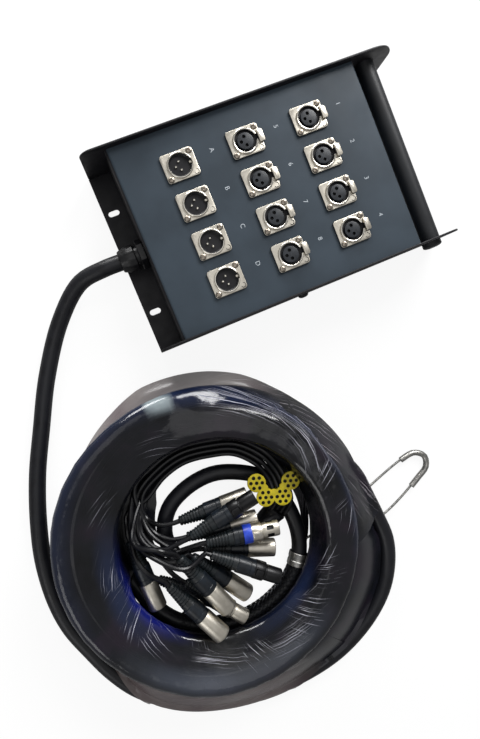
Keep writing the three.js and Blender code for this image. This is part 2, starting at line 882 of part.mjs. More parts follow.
// Pulling grip: collar round the lead, bail of wire with a thimble
const collarWish = vector(collarNear);
const middles = leadMiddle.slice(1).map((point, i) => point.clone().lerp(leadMiddle[i], 0.5));
const reach = middles.map((point) => point.distanceTo(collarWish));
const chosen = reach.indexOf(Math.min(...reach));
const heading = leadMiddle[chosen + 1].clone().sub(leadMiddle[chosen]).normalize();
const collarFrom = middles[chosen].clone().addScaledVector(heading, -gripCollarLength / 2);
const collarTo = middles[chosen].clone().addScaledVector(heading, gripCollarLength / 2);
const gripCollar = ring(gripCollarInner, gripCollarOuter, 0, gripCollarLength);
const bail = smooth(bailRoute.map(vector), 15 * wireRadius, wireRadius);
const thimbleFrom = Math.round(bail.length * thimbleShares[0]);
const thimbleTo = Math.round(bail.length * thimbleShares[1]);
const eye = bail.slice(thimbleFrom, thimbleTo);
const thimble = eye.map((point) => point.clone().setZ(Math.max(point.z, thimbleRadius)));
const grip = laid(alongX(gripCollar), collarFrom, collarTo)
  .add(evenTube(bail, wireRadius, smallSides))
  .add(evenTube(thimble, thimbleRadius, smallSides));
add("pulling_grip", grip, "#8d9096", 0.35, 1);

// Cable comb: round lobes of small holes about an open middle, with webs between them
const atAngle = (reach, degrees) => {
  const angle = (degrees * Math.PI) / 180;
  return [reach * Math.cos(angle), reach * Math.sin(angle)];
};
const lobes = [0, -60, -120, -180].map((degrees) => atAngle(3 * combHolePitch, degrees));
const webs = [-30, -90, -150].map((degrees) => atAngle(combWebReach, degrees));
const combLobe = rod(combLobeRadius, 0, combThickness, plugSides);
const combWeb = rod(combWebRadius, 0, combThickness, smallSides);
let comb = combLobe.translate([...lobes[0], 0]);
for (const place of lobes.slice(1)) comb = comb.add(combLobe.translate([...place, 0]));
for (const place of webs) comb = comb.add(combWeb.translate([...place, 0]));
for (const [x, y] of lobes) {
  for (let k = 0; k < 7; k += 1) {
    const [across, along] = atAngle(k ? combHolePitch : 0, 60 * k);
    const hole = rod(combHoleRadius, -overrun, combThickness + overrun, smallSides);
    comb = comb.subtract(hole.translate([x + across, y + along, 0]));
  }
}
add("cable_comb", comb.rotate([0, 0, combTurn]).translate(combPlace), "#d8c61e", 0.5, 0);

export default root;
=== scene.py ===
"""Stage box snake, dressed for Blender: a low metal box with twelve panel connectors, a coiled
multicore cable with its fan-out, a pulling grip, and a clear film round the coil.
Lengths in this file are millimetres unless a name says otherwise; the scene itself is in metres."""
import math
import random

import bmesh
import bpy
from mathutils import Matrix, Vector, noise
from mathutils.geometry import convex_hull_2d


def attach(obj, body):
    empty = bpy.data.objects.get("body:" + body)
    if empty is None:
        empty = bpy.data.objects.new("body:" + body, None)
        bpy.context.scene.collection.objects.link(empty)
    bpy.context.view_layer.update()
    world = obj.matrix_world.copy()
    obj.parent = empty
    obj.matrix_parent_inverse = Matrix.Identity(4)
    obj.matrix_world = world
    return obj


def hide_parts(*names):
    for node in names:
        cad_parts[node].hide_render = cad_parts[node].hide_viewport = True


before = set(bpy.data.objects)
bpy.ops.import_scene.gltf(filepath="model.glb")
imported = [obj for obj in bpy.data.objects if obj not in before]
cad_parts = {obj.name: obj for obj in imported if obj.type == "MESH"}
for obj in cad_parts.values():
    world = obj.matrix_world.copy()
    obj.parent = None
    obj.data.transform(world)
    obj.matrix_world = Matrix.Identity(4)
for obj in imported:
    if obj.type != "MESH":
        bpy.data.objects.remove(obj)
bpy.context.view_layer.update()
random.seed(7)
MM = 0.001
MAIN = "stage_box"


# Camera, fitted to the photo, in metres
CAMERA_PLACE = (-0.1647, -0.1078, 0.585)
CAMERA_AXES = [(0.9145, -0.3814, 0.1349), (0.3870, 0.9219, -0.0172), (-0.1179, 0.0679, 0.9907)]
CAMERA_LENS, CAMERA_SENSOR = 26.306, 36


def shown(name, data):
    """A new object in the scene."""
    made = bpy.data.objects.new(name, data)
    bpy.context.collection.objects.link(made)
    return made


def make_camera():
    camera = bpy.data.cameras.new("camera")
    camera.sensor_fit = "AUTO"
    camera.sensor_width = CAMERA_SENSOR
    camera.lens = CAMERA_LENS
    camera.clip_start = 0.01
    seen = shown("camera", camera)
    turn = Matrix(CAMERA_AXES).transposed().to_4x4()
    seen.matrix_world = Matrix.Translation(CAMERA_PLACE) @ turn
    bpy.context.scene.camera = seen


make_camera()


# Materials
def colour(text):
    """An sRGB hex colour as linear RGBA."""
    parts = [int(text[i:i + 2], 16) / 255 for i in (1, 3, 5)]
    return tuple(c / 12.92 if c <= 0.04045 else ((c + 0.055) / 1.055) ** 2.4 for c in parts) + (1,)


def wire(tree, node, inputs):
    """Sets a node's inputs, each to a value, a node's output, or a node, whose first output it takes."""
    for key, value in inputs.items():
        source = value.outputs[0] if isinstance(value, bpy.types.Node) else value
        if isinstance(source, bpy.types.NodeSocket):
            tree.links.new(source, node.inputs[key])
        else:
            node.inputs[key].default_value = source


def add(tree, kind, inputs=None, stops=(), **settings):
    """Adds a node with its settings and links; a ramp's stops are places with a colour or a number."""
    made = tree.nodes.new(kind)
    for key, value in settings.items():
        setattr(made, key, value)
    wire(tree, made, inputs or {})
    for _ in stops[2:]:
        made.color_ramp.elements.new(0.5)
    for i, (place, value) in enumerate(stops):
        point = made.color_ramp.elements[i]
        point.position = place
        point.color = colour(value) if isinstance(value, str) else (value, value, value, 1)
    return made


def blank(name):
    """A new material with its tree and its Principled shader."""
    made = bpy.data.materials.new(name)
    made.use_nodes = True
    tree = made.node_tree
    return made, tree, tree.nodes["Principled BSDF"]


def spots(tree, size_mm, detail=2.0, rough=0.5, space=None, distortion=0.0):
    """Noise with features of about size_mm, in object coordinates unless space is given."""
    if space is None:
        space = add(tree, "ShaderNodeTexCoord").outputs["Object"]
    return add(tree, "ShaderNodeTexNoise", {
        "Vector": space, "Scale": 1000 / size_mm, "Detail": detail, "Roughness": rough,
        "Distortion": distortion}).outputs["Fac"]


def finish_of(name, dark, light, rough, metal=0.0, patch=30, grain=0.6, relief=0.1, depth_mm=0.05,
              low=0.35, high=0.65, **values):
    """A solid material: colour patches, finer roughness variation, and a fine surface relief, with patch
    and grain as the sizes of their features in millimetres."""
    made, tree, shader = blank(name)
    wire(tree, shader, {
        "Base Color": add(tree, "ShaderNodeValToRGB", {"Fac": spots(tree, patch, 4.0)},
                          [(low, dark), (high, light)]),
        "Roughness": add(tree, "ShaderNodeValToRGB", {"Fac": spots(tree, patch / 3, 3.0)},
                         [(0.3, rough[0]), (0.7, rough[1])]),
        "Normal": add(tree, "ShaderNodeBump", {
            "Height": spots(tree, grain), "Strength": relief, "Distance": depth_mm * MM}),
        "Metallic": metal})
    wire(tree, shader, {key.replace("_", " "): value for key, value in values.items()})
    return made


# Powder coat on steel: near black, a fine orange-peel skin, satin.
# The same black is also painted shade: on the strip and wall at the gland, and in the rims under the
# flanges.
black_coat_and_shade = finish_of("black_powder_coat_and_painted_shade", "#0c0b10", "#141318", (0.42, 0.55), grain=0.9, relief=0.35,
                      Specular_IOR_Level=0.35)
# The same coat in blue-grey on the connector panel, a little smoother.
panel_paint = finish_of("grey_powder_coat", "#2c363f", "#36414b", (0.46, 0.56), patch=60, grain=0.8,
                        relief=0.2, Specular_IOR_Level=0.3)
# Smooth black lacquer on the handle tube.
handle_paint = finish_of("black_lacquer", "#0d0f14", "#14171c", (0.44, 0.54), grain=1.5, relief=0.08,
                         Specular_IOR_Level=0.45)
# Zinc die casting with a nickel finish: warm silver, satin, with faint casting flow.
nickel = finish_of("satin_nickel", "#c9c3b6", "#d6d0c4", (0.34, 0.42), 1.0, patch=6, grain=0.35,
                   relief=0.06, depth_mm=0.02)
# Bright nickel on rims and contacts: lighter and glossier than the castings.
bright = finish_of("bright_nickel", "#dcd7cc", "#efeae0", (0.16, 0.24), 1.0, patch=4, grain=0.3,
                   relief=0.04, depth_mm=0.01)
# Dulled zinc plate on screws: brownish grey metal.
screw_zinc = finish_of("zinc_screw", "#8f867b", "#b3a99c", (0.24, 0.36), 1.0, patch=2, grain=0.25,
                       relief=0.08, depth_mm=0.01)
# Glass-filled black nylon of the plugs' inserts, and of what is dark in a connector's bore.
# The same black is also the painted shadow in the comb's holes.
black_nylon_and_shade = finish_of("insert_nylon_and_painted_shade", "#0b0c0f", "#131519", (0.4, 0.55), patch=3, grain=0.3, relief=0.2,
                         Specular_IOR_Level=0.35)
# The same nylon in slate grey, a little glossier, on the panel sockets' inserts.
insert_slate = finish_of("insert_slate_nylon", "#161a20", "#20252c", (0.35, 0.5), patch=3, grain=0.3,
                         relief=0.15)
# Moulded polyamide of the gland: black with a soft gloss.
gland_nylon = finish_of("gland_nylon", "#0a0a0d", "#121216", (0.3, 0.42), patch=12, grain=0.5, relief=0.15,
                        Specular_IOR_Level=0.5)
# Soft rubber boots on the cable connectors: bluish black, satin.
boot_rubber = finish_of("boot_rubber", "#0c1013", "#151d21", (0.36, 0.5), patch=10, grain=0.4, relief=0.15)
# Moulded nylon of the connectors' back halves: a cool black, glossier than the boots.
sleeve_nylon = finish_of("sleeve_nylon", "#0e1217", "#171e26", (0.28, 0.4), patch=9, grain=0.4, relief=0.1)
# Black chrome shells: a dark skin with some metal gloss.
black_shell = finish_of("black_chrome_shell", "#0b0b0d", "#141416", (0.28, 0.4), 0.3, patch=8, grain=0.4,
                        relief=0.08)
# Blue plastic coding ring, moulded and even.
blue_ring = finish_of("blue_coding_ring", "#1a35a6", "#2849c2", (0.3, 0.4), patch=4, grain=0.4, relief=0.1)
# Yellow moulded polythene of the comb: waxy, and a little light passes into it.
comb_yellow = finish_of("yellow_polythene", "#b3a312", "#cdbb1c", (0.38, 0.5), patch=8, grain=0.5,
                        relief=0.12, Subsurface_Weight=0.05, Subsurface_Scale=0.002)
# Galvanised wire of the bail: pale grey, slightly rough.
wire_steel = finish_of("galvanised_wire", "#8f8f8d", "#bab8b3", (0.3, 0.42), 1.0, patch=5, grain=0.3,
                       relief=0.15)
# Dark oxidised wire of the woven grip, bright in small patches.
mesh_wire = finish_of("dark_braid_wire", "#0c0c0f", "#33363b", (0.25, 0.45), 0.8, patch=3, grain=0.3,
                      relief=0.2, low=0.5, high=0.8)
# White silk-screen ink of the numbers and letters, dulled by handling.
label_ink = finish_of("white_screen_ink", "#aeb6bd", "#c9d0d6", (0.4, 0.55), patch=2, grain=0.3, relief=0.1)


def jacket(name, dark, light, rough):
    """Extruded PVC: faint lines along the cable, dust and a fine skin."""
    made, tree, shader = blank(name)
    along = add(tree, "ShaderNodeUVMap", uv_map="cable")
    stretched = add(tree, "ShaderNodeMapping", {"Vector": along, "Scale": (0.03, 1.0, 1.0)})
    lines = spots(tree, 25, 3.0, space=stretched)
    dust = spots(tree, 14, 5.0, 0.6)
    mixed = add(tree, "ShaderNodeMath", {0: lines, 1: dust}, operation="ADD")
    low = add(tree, "ShaderNodeBump", {"Height": lines, "Strength": 0.25, "Distance": 0.0002})
    wire(tree, shader, {
        "Base Color": add(tree, "ShaderNodeValToRGB", {"Fac": mixed}, [(0.75, dark), (1.0, light)]),
        "Roughness": add(tree, "ShaderNodeValToRGB", {"Fac": dust}, [(0.35, rough[0]), (0.7, rough[1])]),
        "Normal": add(tree, "ShaderNodeBump", {
            "Height": spots(tree, 0.7), "Strength": 0.2, "Distance": 0.00004, "Normal": low}),
        "Specular IOR Level": 0.4})
    return made


multicore_jacket = jacket("multicore_jacket", "#0a0a0e", "#131419", (0.34, 0.46))
tail_jacket = jacket("tail_jacket", "#09090c", "#101115", (0.26, 0.38))


# Mesh building
class Form:
    """Points and faces of one piece, in millimetres; each face has a material number and perhaps UVs."""

    def __init__(self, points=(), faces=(), mark=0):
        self.points, self.faces = list(points), list(faces)
        self.marks, self.uvs = [mark] * len(self.faces), [None] * len(self.faces)

    def face(self, corners, mark=0, uv=None):
        self.faces.append(corners)
        self.marks.append(mark)
        self.uvs.append(uv)

    def join(self, other, place=None):
        """Adds another form, at a place if one is given."""
        first = len(self.points)
        self.points += [place @ p if place else p for p in other.points]
        self.faces += [[first + i for i in face] for face in other.faces]
        self.marks += other.marks
        self.uvs += other.uvs
        return self

    def middle(self, face):
        return sum((self.points[k] for k in face), Vector()) / len(face)


def at(place, *forms):
    """Several forms as one, at a place."""
    whole = Form()
    for form in forms:
        whole.join(form, place)
    return whole


def copies(form, places):
    """One form at several places."""
    whole = Form()
    for place in places:
        whole.join(form, place)
    return whole


def shade(mesh, degrees=32):
    """Smooth faces, with sharp edges where the surface turns more than this."""
    made = bmesh.new()
    made.from_mesh(mesh)
    for face in made.faces:
        face.smooth = True
    for edge in made.edges:
        edge.smooth = len(edge.link_faces) == 2 and edge.calc_face_angle(0) < math.radians(degrees)
    made.to_mesh(mesh)
    made.free()


def mesh_of(form, name):
    mesh = bpy.data.meshes.new(name)
    mesh.from_pydata([p * MM for p in form.points], [], form.faces)
    for polygon, mark in zip(mesh.polygons, form.marks):
        polygon.material_index = mark
    if any(uv is not None for uv in form.uvs):
        layer = mesh.uv_layers.new(name="cable")
        for polygon, uv in zip(mesh.polygons, form.uvs):
            for corner, value in zip(polygon.loop_indices, uv or [(0, 0)] * len(polygon.vertices)):
                layer.data[corner].uv = value
    return mesh


def piece(name, form, materials, body=MAIN, replaces=(), degrees=32):
    """One object from a form, riding on a body."""
    mesh = mesh_of(form, name)
    for material in materials:
        mesh.materials.append(material)
    shade(mesh, degrees)
    made = shown(name, mesh)
    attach(made, body)
    if replaces:
        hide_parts(*replaces)
    return made


def baked(thing):
    """An object's mesh as its modifiers leave it."""
    bpy.context.view_layer.update()
    return bpy.data.meshes.new_from_object(thing.evaluated_get(bpy.context.evaluated_depsgraph_get()))


def lathe(profile, steps=48, mark=0):
    """A turned form about Z from (radius, height) pairs, run so that it faces outwards when the
    profile goes from the bottom up on the outside."""
    form, rings = Form(), []
    for r, z in profile:
        first = len(form.points)
        if r == 0:
            form.points.append(Vector((0, 0, z)))
            rings.append([first] * steps)
        else:
            turns = [math.tau * k / steps for k in range(steps)]
            form.points += [Vector((r * math.cos(turn), r * math.sin(turn), z)) for turn in turns]
            rings.append([first + k for k in range(steps)])
    for low, high in zip(rings, rings[1:]):
        for k in range(steps):
            n = (k + 1) % steps
            corners = [low[k], low[n], high[n], high[k]]
            short = [v for i, v in enumerate(corners) if v != corners[i - 1]]
            if len(short) > 2:
                form.face(short, mark)
    return form


def cylinder(radius, z0, z1, steps, mark=0):
    return lathe([(0, z0), (radius, z0), (radius, z1), (0, z1)], steps, mark)


def rounded(x0, x1, y0, y1, radii, inset=0.0, steps=8):
    """A rectangle's outline with one radius for each corner, anticlockwise from (x0, y0)."""
    corners = [(x0, y0, 180), (x1, y0, 270), (x1, y1, 0), (x0, y1, 90)]
    found = []
    for (x, y, start), radius in zip(corners, radii):
        sx, sy = (1 if x == x0 else -1), (1 if y == y0 else -1)
        r = max(radius - inset, 0.02 if radius else 0)
        cx, cy = x + sx * (inset + r), y + sy * (inset + r)
        for k in range(steps + 1 if radius else 1):
            angle = math.radians(start + 90 * k / steps)
            found.append((cx + r * math.cos(angle), cy + r * math.sin(angle)))
    return found


def prism(outline, levels, mark=0):
    """A closed form through (inset, height) levels of outline(inset), all of one point count."""
    points, loops = [], []
    for inset, z in levels:
        first = len(points)
        points += [Vector((x, y, z)) for x, y in outline(inset)]
        loops.append(list(range(first, len(points))))
    faces = [list(reversed(loops[0])), loops[-1]]
    for low, high in zip(loops, loops[1:]):
        for k in range(len(low)):
            n = (k + 1) % len(low)
            faces.append([low[k], low[n], high[n], high[k]])
    return Form(points, faces, mark)


def soft_edges(z0, z1, edge):
    """A prism's levels, with its bottom and top edges rounded off."""
    half = edge * 0.3
    return [(edge, z0), (half, z0 + half), (0, z0 + edge), (0, z1 - edge), (half, z1 - half), (edge, z1)]


def plate(x0, x1, y0, y1, z0, z1, radii, edge, mark=0, steps=4):
    """A flat plate with rounded corners and softened top and bottom edges."""
    return prism(lambda inset: rounded(x0, x1, y0, y1, radii, inset, steps), soft_edges(z0, z1, edge), mark)


def box_form(x0, x1, y0, y1, z0, z1, mark=0):
    return prism(lambda inset: [(x0, y0), (x1, y0), (x1, y1), (x0, y1)], [(0, z0), (0, z1)], mark)


def spun(angle, axis):
    return Matrix.Rotation(math.radians(angle), 4, axis)


def moved(x, y, z):
    return Matrix.Translation((x, y, z))


def carved(form, cutter):
    """form with cutter taken away; the cut faces keep the cutter's material numbers."""
    things = []
    for part in (form, cutter):
        mesh = mesh_of(part, "carving")
        # Empty slots, without which a cut face loses its number
        for _ in range(4):
            mesh.materials.append(None)
        things.append(shown("carving", mesh))
    cut = things[0].modifiers.new("cut", "BOOLEAN")
    cut.operation, cut.solver, cut.object = "DIFFERENCE", "EXACT", things[1]
    solid = baked(things[0])
    found = Form([v.co / MM for v in solid.vertices], [list(p.vertices) for p in solid.polygons])
    found.marks = [p.material_index for p in solid.polygons]
    for thing in things:
        bpy.data.objects.remove(thing)
    return found


# Smooth routes
def smooth(points, step, floor):
    """Points about one step apart on a centripetal curve through the given ones, none below the floor."""
    points = [Vector(p) for p in points]
    points = [2 * points[0] - points[1], *points, 2 * points[-1] - points[-2]]
    fine = []
    for a, b, c, d in zip(points, points[1:], points[2:], points[3:]):
        ta, tb, tc = [max((q - p).length, 1e-6) ** 0.5 for p, q in ((a, b), (b, c), (c, d))]
        start = ((b - a) / ta - (c - a) / (ta + tb) + (c - b) / tb) * tb
        end = ((c - b) / tb - (d - b) / (tb + tc) + (d - c) / tc) * tb
        for k in range(24):
            t = k / 24
            t2, t3 = t * t, t * t * t
            fine.append(b * (2 * t3 - 3 * t2 + 1) + start * (t3 - 2 * t2 + t)
                        + c * (3 * t2 - 2 * t3) + end * (t3 - t2))
    fine.append(points[-2])
    reach = [0.0]
    for a, b in zip(fine, fine[1:]):
        reach.append(reach[-1] + (b - a).length)
    count = max(2, round(reach[-1] / step))
    found, i = [], 0
    for k in range(count + 1):
        wish = reach[-1] * k / count
        while i < len(reach) - 2 and reach[i + 1] < wish:
            i += 1
        part = (wish - reach[i]) / max(reach[i + 1] - reach[i], 1e-9)
        point = fine[i].lerp(fine[i + 1], part)
        point.z = max(point.z, floor)
        found.append(point)
    return found


def frames(points):
    """The direction, side and top at each point of a route."""
    found = []
    for i, point in enumerate(points):
        back = point - points[max(i - 1, 0)]
        front = points[min(i + 1, len(points) - 1)] - point
        along = (back.normalized() + front.normalized()).normalized()
        side = along.cross(Vector((0, 0, 1))).normalized()
        found.append((along, side, side.cross(along)))
    return found


def tube(points, radius, sides=14, mark=0):
    """A round tube along points, with UVs in metres; radius is a number or one for each point."""
    radii = radius if hasattr(radius, "__len__") else [radius] * len(points)
    form, run = Form(), 0.0
    for point, r, (along, side, top) in zip(points, radii, frames(points)):
        for k in range(sides):
            angle = math.tau * k / sides
            form.points.append(point + side * (r * math.cos(angle)) + top * (r * math.sin(angle)))
    for i in range(len(points) - 1):
        low, high = i * sides, (i + 1) * sides
        end = run + (points[i + 1] - points[i]).length * MM
        girth = math.tau * radii[i] * MM
        for k in range(sides):
            n = (k + 1) % sides
            v0, v1 = k / sides * girth, (k + 1) / sides * girth
            form.face([high + k, high + n, low + n, low + k], mark,
                      [(end, v0), (end, v1), (run, v1), (run, v0)])
        run = end
    last = len(form.points) - sides
    for cap in (range(sides), reversed(range(last, last + sides))):
        form.face(list(cap), mark, [(0, 0)] * sides)
    return form


def route_length(points):
    return sum((b - a).length for a, b in zip(points, points[1:])) * MM


def ahead(start, towards, distance):
    return towards + (towards - start).normalized() * distance


def ease(value, low, high):
    t = min(max((value - low) / (high - low), 0), 1)
    return t * t * (3 - 2 * t)


# Cords: the routes' points were chosen along the photo's cables
CABLE = 17
CABLE_RADIUS, TAIL_RADIUS, BAIL_RADIUS = CABLE / 2, 2.6, 1.3
GLAND_HEIGHT = 30
COIL_CENTRE = (-188.5, -298)
# Winding angles in degrees: the coil starts on the floor, climbs to its top layer, joins the turns
# there, comes down a layer at the crossing of every second turn, and leaves for the inside
COIL_FROM, CLIMBED, JOINED, CROSSING, LEAVING, COIL_TO = 20, 125, 230, 250, 2285, 2345
COIL_RADIUS, TURN_PITCH, LAYER_PITCH = 141, 18, 17.6
# How far apart a route's points are, from the thickest cord to the woven sleeve
CABLE_STEP, TAIL_STEP, SLEEVE_STEP = 6, 4, 2.2
run_route = [
    (-186.4, 0, 30), (-214, -3, 23), (-248, -29, 12), (-282.4, -75.1, 8.5), (-310, -124.9, 8.5),
    (-331.5, -166, 8.5), (-349, -209.2, 8.5), (-361, -250, 8.5), (-366.2, -293.1, 8.5), (-364, -326, 8.5),
    (-355, -357.2, 8.5), (-342.8, -390.7, 8.5), (-325.5, -420, 8.5), (-290, -452, 8.5),
    (-250.4, -471, 8.5), (-204, -482, 8.5), (-155.9, -484.6, 8.5), (-112.1, -478, 9), (-71.8, -460, 10.2),
    (-43, -437, 11.1), (-25.9, -411.9, 11.1), (-17, -385, 11.1), (-17.4, -356.9, 11.1),
    (-19.5, -330, 11.1), (-22.1, -303.8, 11.1)]
lead_route = [
    (-259.9, -369.4, 10.8), (-222.7, -392, 11.2), (-179.9, -396.6, 11.3), (-139.5, -382.9, 11.3),
    (-115, -359.7, 11.3), (-105.1, -331.7, 10), (-106.5, -298, 8.5), (-118.7, -265.5, 8.5),
    (-146.3, -245.9, 8.5), (-170.4, -238.7, 8.5), (-200.4, -242.2, 8.5), (-224.5, -255.1, 8.5),
    (-238.3, -279.9, 8.5), (-233.6, -312, 8.5), (-212, -333.6, 8.5), (-186, -335, 8.5),
    (-161, -324, 8.5), (-138, -309, 10.5)]


def on_ring(degrees, radius, z):
    """The point at an angle round the coil's centre."""
    turn = math.radians(degrees)
    return Vector((COIL_CENTRE[0] + radius * math.cos(turn), COIL_CENTRE[1] + radius * math.sin(turn), z))


def coil_point(angle):
    """The cable's middle at a winding angle in degrees: six and a half turns in four layers."""
    past = (angle + 360 - CROSSING) % 360
    outside = COIL_RADIUS + TURN_PITCH * (1 - min(past, 360 - past) / 360)
    turns = abs(angle - CROSSING) / 360 % 4
    wave = COIL_RADIUS - TURN_PITCH * (4 - turns if turns > 2 else turns)
    join = ease(angle, CLIMBED, JOINED)
    leave = max(0, (angle - LEAVING) / 60)
    radius = outside * (1 - join) + wave * join - 8 * leave * leave
    steps_down = [CROSSING + 720 * k for k in range(3)]
    level = 3 * ease(angle, COIL_FROM, CLIMBED) - sum(ease(angle, m - 90, m + 90) for m in steps_down)
    # The bail's wire passes below the turns at the right and lifts them
    lift = max(ease(t, 270, 310) * (1 - ease(t, 356, 396)) for t in (angle % 360, angle % 360 + 360))
    return on_ring(angle, radius, CABLE_RADIUS + LAYER_PITCH * level + 2 * BAIL_RADIUS * lift)


windings = [coil_point(angle) for angle in range(COIL_FROM, COIL_TO + 1, 3)]
coil_first = ahead(coil_point(COIL_FROM + 1), windings[0], CABLE)
coil_last = ahead(coil_point(COIL_TO - 1), windings[-1], CABLE)
run_points = smooth([(-166, 0, GLAND_HEIGHT), *run_route, ahead(windings[0], coil_first, CABLE), coil_first],
                    CABLE_STEP, CABLE_RADIUS)
lead_points = smooth([coil_last, ahead(windings[-1], coil_last, CABLE), *lead_route], CABLE_STEP,
                     CABLE_RADIUS)
multicore_points = run_points + windings + lead_points
multicore = piece("multicore_cable", tube(multicore_points, CABLE_RADIUS, 18), [multicore_jacket],
                  replaces=["multicore_run", "multicore_coil", "fan_out"])

breakout_start, breakout_end = Vector((-138, -309, 10.5)), Vector((-118, -301.5, 17))
# The tails' shared way from the breakout round the inside of the ring, four abreast in three rows
shared_route = [
    (-118, -301.5, 17), (-109, -290, 25.4), (-107, -276, 25.4), (-107, -261, 21), (-113, -243, 12),
    (-133, -221, 9), (-159.5, -211, 9), (-190, -206.5, 9), (-218, -212.5, 10), (-243, -226, 12)]
TAIL_SPACING = 5.4
# Each tail's connector, as whether it is female and its finish, and the tail's own last points, the
# last two being the connector's boot and tip
tail_routes = [
    (True, "black", [(-256, -258, 30), (-243, -280, 44), (-210.5, -279.9, 46.5), (-136.3, -269.1, 46.5)]),
    (True, "blue", [(-258, -262, 36), (-240, -286, 46), (-221, -290, 43), (-199.2, -292, 46.5),
                    (-126, -308.6, 46.5)]),
    (False, "silver", [(-250, -262, 26), (-228, -292, 36), (-205.5, -303.3, 27.2), (-136.8, -333.5, 27.2)]),
    (True, "black", [(-262, -262, 44), (-246, -284, 62), (-226, -300, 67), (-199.5, -305, 47),
                     (-144.4, -356, 47)]),
    (False, "silver", [(-258, -272, 30), (-236, -297, 44), (-217, -302, 42), (-181.5, -365, 30)]),
    (False, "silver", [(-264, -262, 48), (-243, -274, 62), (-228, -292, 56), (-204, -362, 49.5)]),
    (True, "silver", [(-252, -262, 20), (-251, -287, 25), (-245, -310, 29.5), (-236, -326.5, 29.4),
                      (-193, -388, 29.4)]),
    (False, "silver", [(-268, -270, 44), (-264, -292, 50), (-249, -315.8, 47.5), (-219.7, -384.8, 48.5)]),
    (False, "silver", [(-264, -240, 16), (-268, -250, 24), (-270.1, -266, 27.2), (-270.6, -338.8, 27.2)]),
    (False, "silver", [(-248, -250, 18), (-236, -262, 26), (-216, -266, 27.2), (-142, -271, 27.2)]),
    (False, "silver", [(-258, -250, 10), (-270, -280, 5), (-271, -303, 7), (-262.4, -318.9, 9.8),
                       (-209.4, -371.9, 9.8)]),
    (False, "silver", [(-246, -266, 22), (-232, -280, 27), (-216, -284.5, 27.2), (-142, -297, 27.2)])]
NUMBERS = ["one", "two", "three", "four", "five", "six", "seven", "eight", "nine", "ten", "eleven",
           "twelve"]
# A cable connector's length, and where its tail comes straight in and where it ends inside
PLUG, STRAIGHT_FROM, TAIL_INSIDE = 75, 5.5, 2
slots_beside = [(column - 1.5, row - 1) for row in range(3) for column in range(4)]
shared = [Vector(p) for p in shared_route]
shared_sides = []
for i in range(len(shared)):
    along = (shared[min(i + 1, len(shared) - 1)] - shared[max(i - 1, 0)]).normalized()
    shared_sides.append(along.cross(Vector((0, 0, 1))).normalized())


def boot_and_tip(ends):
    """A cable connector's two ends: its tip as given, and its boot one plug's length behind."""
    tip = Vector(ends[-1])
    return ahead(Vector(ends[-2]), tip, -PLUG), tip


tails = []
for number, (across, high), (female, finish, ends) in zip(NUMBERS, slots_beside, tail_routes):
    boot, tip = boot_and_tip(ends)
    over = Vector((0, 0, high * TAIL_SPACING))
    points = [p + side * (across * TAIL_SPACING) + over for p, side in zip(shared, shared_sides)]
    points += [Vector(p) for p in ends[:-2]] + [ahead(tip, boot, STRAIGHT_FROM)]
    path = smooth(points, TAIL_STEP, TAIL_RADIUS) + [ahead(tip, boot, -TAIL_INSIDE)]
    tails.append((piece("tail_" + number, tube(path, TAIL_RADIUS, 10), [tail_jacket]), path))

bail_route = [
    (-112, -352, 1.3), (-96, -350, 1.3), (-60, -345, 1.3), (-5, -325.6, 1.3), (36.2, -313.7, 2.3),
    (52.4, -312.5, 2.3), (62.5, -321, 2.3), (59.7, -333, 2.3), (47.5, -340.2, 2.3), (-2.3, -362.1, 1.3),
    (-60, -371, 1.3), (-104, -368, 1.3), (-112, -364, 1.3)]
bail_points = smooth(bail_route, TAIL_STEP, 1.0)

# Box
PLATE_START, PLATE_END, WALL, PANEL_END = -166.2, 169.1, -142.1, 119.9
PANEL_TOP, HALF_PANEL, SHEET = 62, 96.5, 2
WALL_BEND, END_BEND = 4, 2.5
SLOT_FROM, SLOT_TO, SLOT_HALF, SLOT_Y = -161.5, -149.5, 3, 55.5
PLATE_TOP, PLATE_INSIDE, PLATE_OUTSIDE = 70, 96.8, 98.8
columns = [-80.9, -12.9, 55.1]
rows = [58.5, 19.5, -19.5, -58.5]
# The place of each panel connector and what is printed beside it: A to D, 5 to 8 and 1 to 4
panel_places = [(x, y, ("ABCD", "5678", "1234")[column][row])
                for column, x in enumerate(columns) for row, y in enumerate(rows)]


def arc(cx, cz, r, start, end, steps=8):
    turns = [math.radians(start + (end - start) * k / steps) for k in range(steps + 1)]
    return [(cx + r * math.cos(turn), cz + r * math.sin(turn)) for turn in turns]


def across_y(outline, y0, y1):
    """An outline in X and Z, anticlockwise seen from -Y, made thick along Y."""
    count = len(outline)
    faces = [list(range(count)), list(reversed(range(count, 2 * count)))]
    for k in range(count):
        n = (k + 1) % count
        faces.append([n, k, count + k, count + n])
    return Form([Vector((x, y, z)) for y in (y0, y1) for x, z in outline], faces)


panel_outline = (
    [(PLATE_START, 0), (WALL + SHEET, 0)]
    + arc(WALL + WALL_BEND, PANEL_TOP - WALL_BEND, WALL_BEND - SHEET, 180, 90)
    + arc(PANEL_END - END_BEND, PANEL_TOP - END_BEND, END_BEND - SHEET, 90, 0)
    + [(PANEL_END - SHEET, 0), (PANEL_END, 0)]
    + arc(PANEL_END - END_BEND, PANEL_TOP - END_BEND, END_BEND, 0, 90)
    + arc(WALL + WALL_BEND, PANEL_TOP - WALL_BEND, WALL_BEND, 90, 180)
    + [(WALL, SHEET), (PLATE_START, SHEET)])
strip_slot = prism(lambda inset: rounded(SLOT_FROM, SLOT_TO, -SLOT_HALF, SLOT_HALF, (SLOT_HALF,) * 4),
                   [(0, -SHEET), (0, 2 * SHEET)])
holes = copies(strip_slot, [moved(0, -SLOT_Y, 0), moved(0, SLOT_Y, 0)])
holes.join(cylinder(10.3, -2, 5, 32), moved(WALL, 0, GLAND_HEIGHT) @ spun(90, "Y"))
holes.join(copies(cylinder(12.4, PANEL_TOP - 4, PANEL_TOP + 2, 32),
                  [moved(x, y, 0) for x, y, mark in panel_places]))
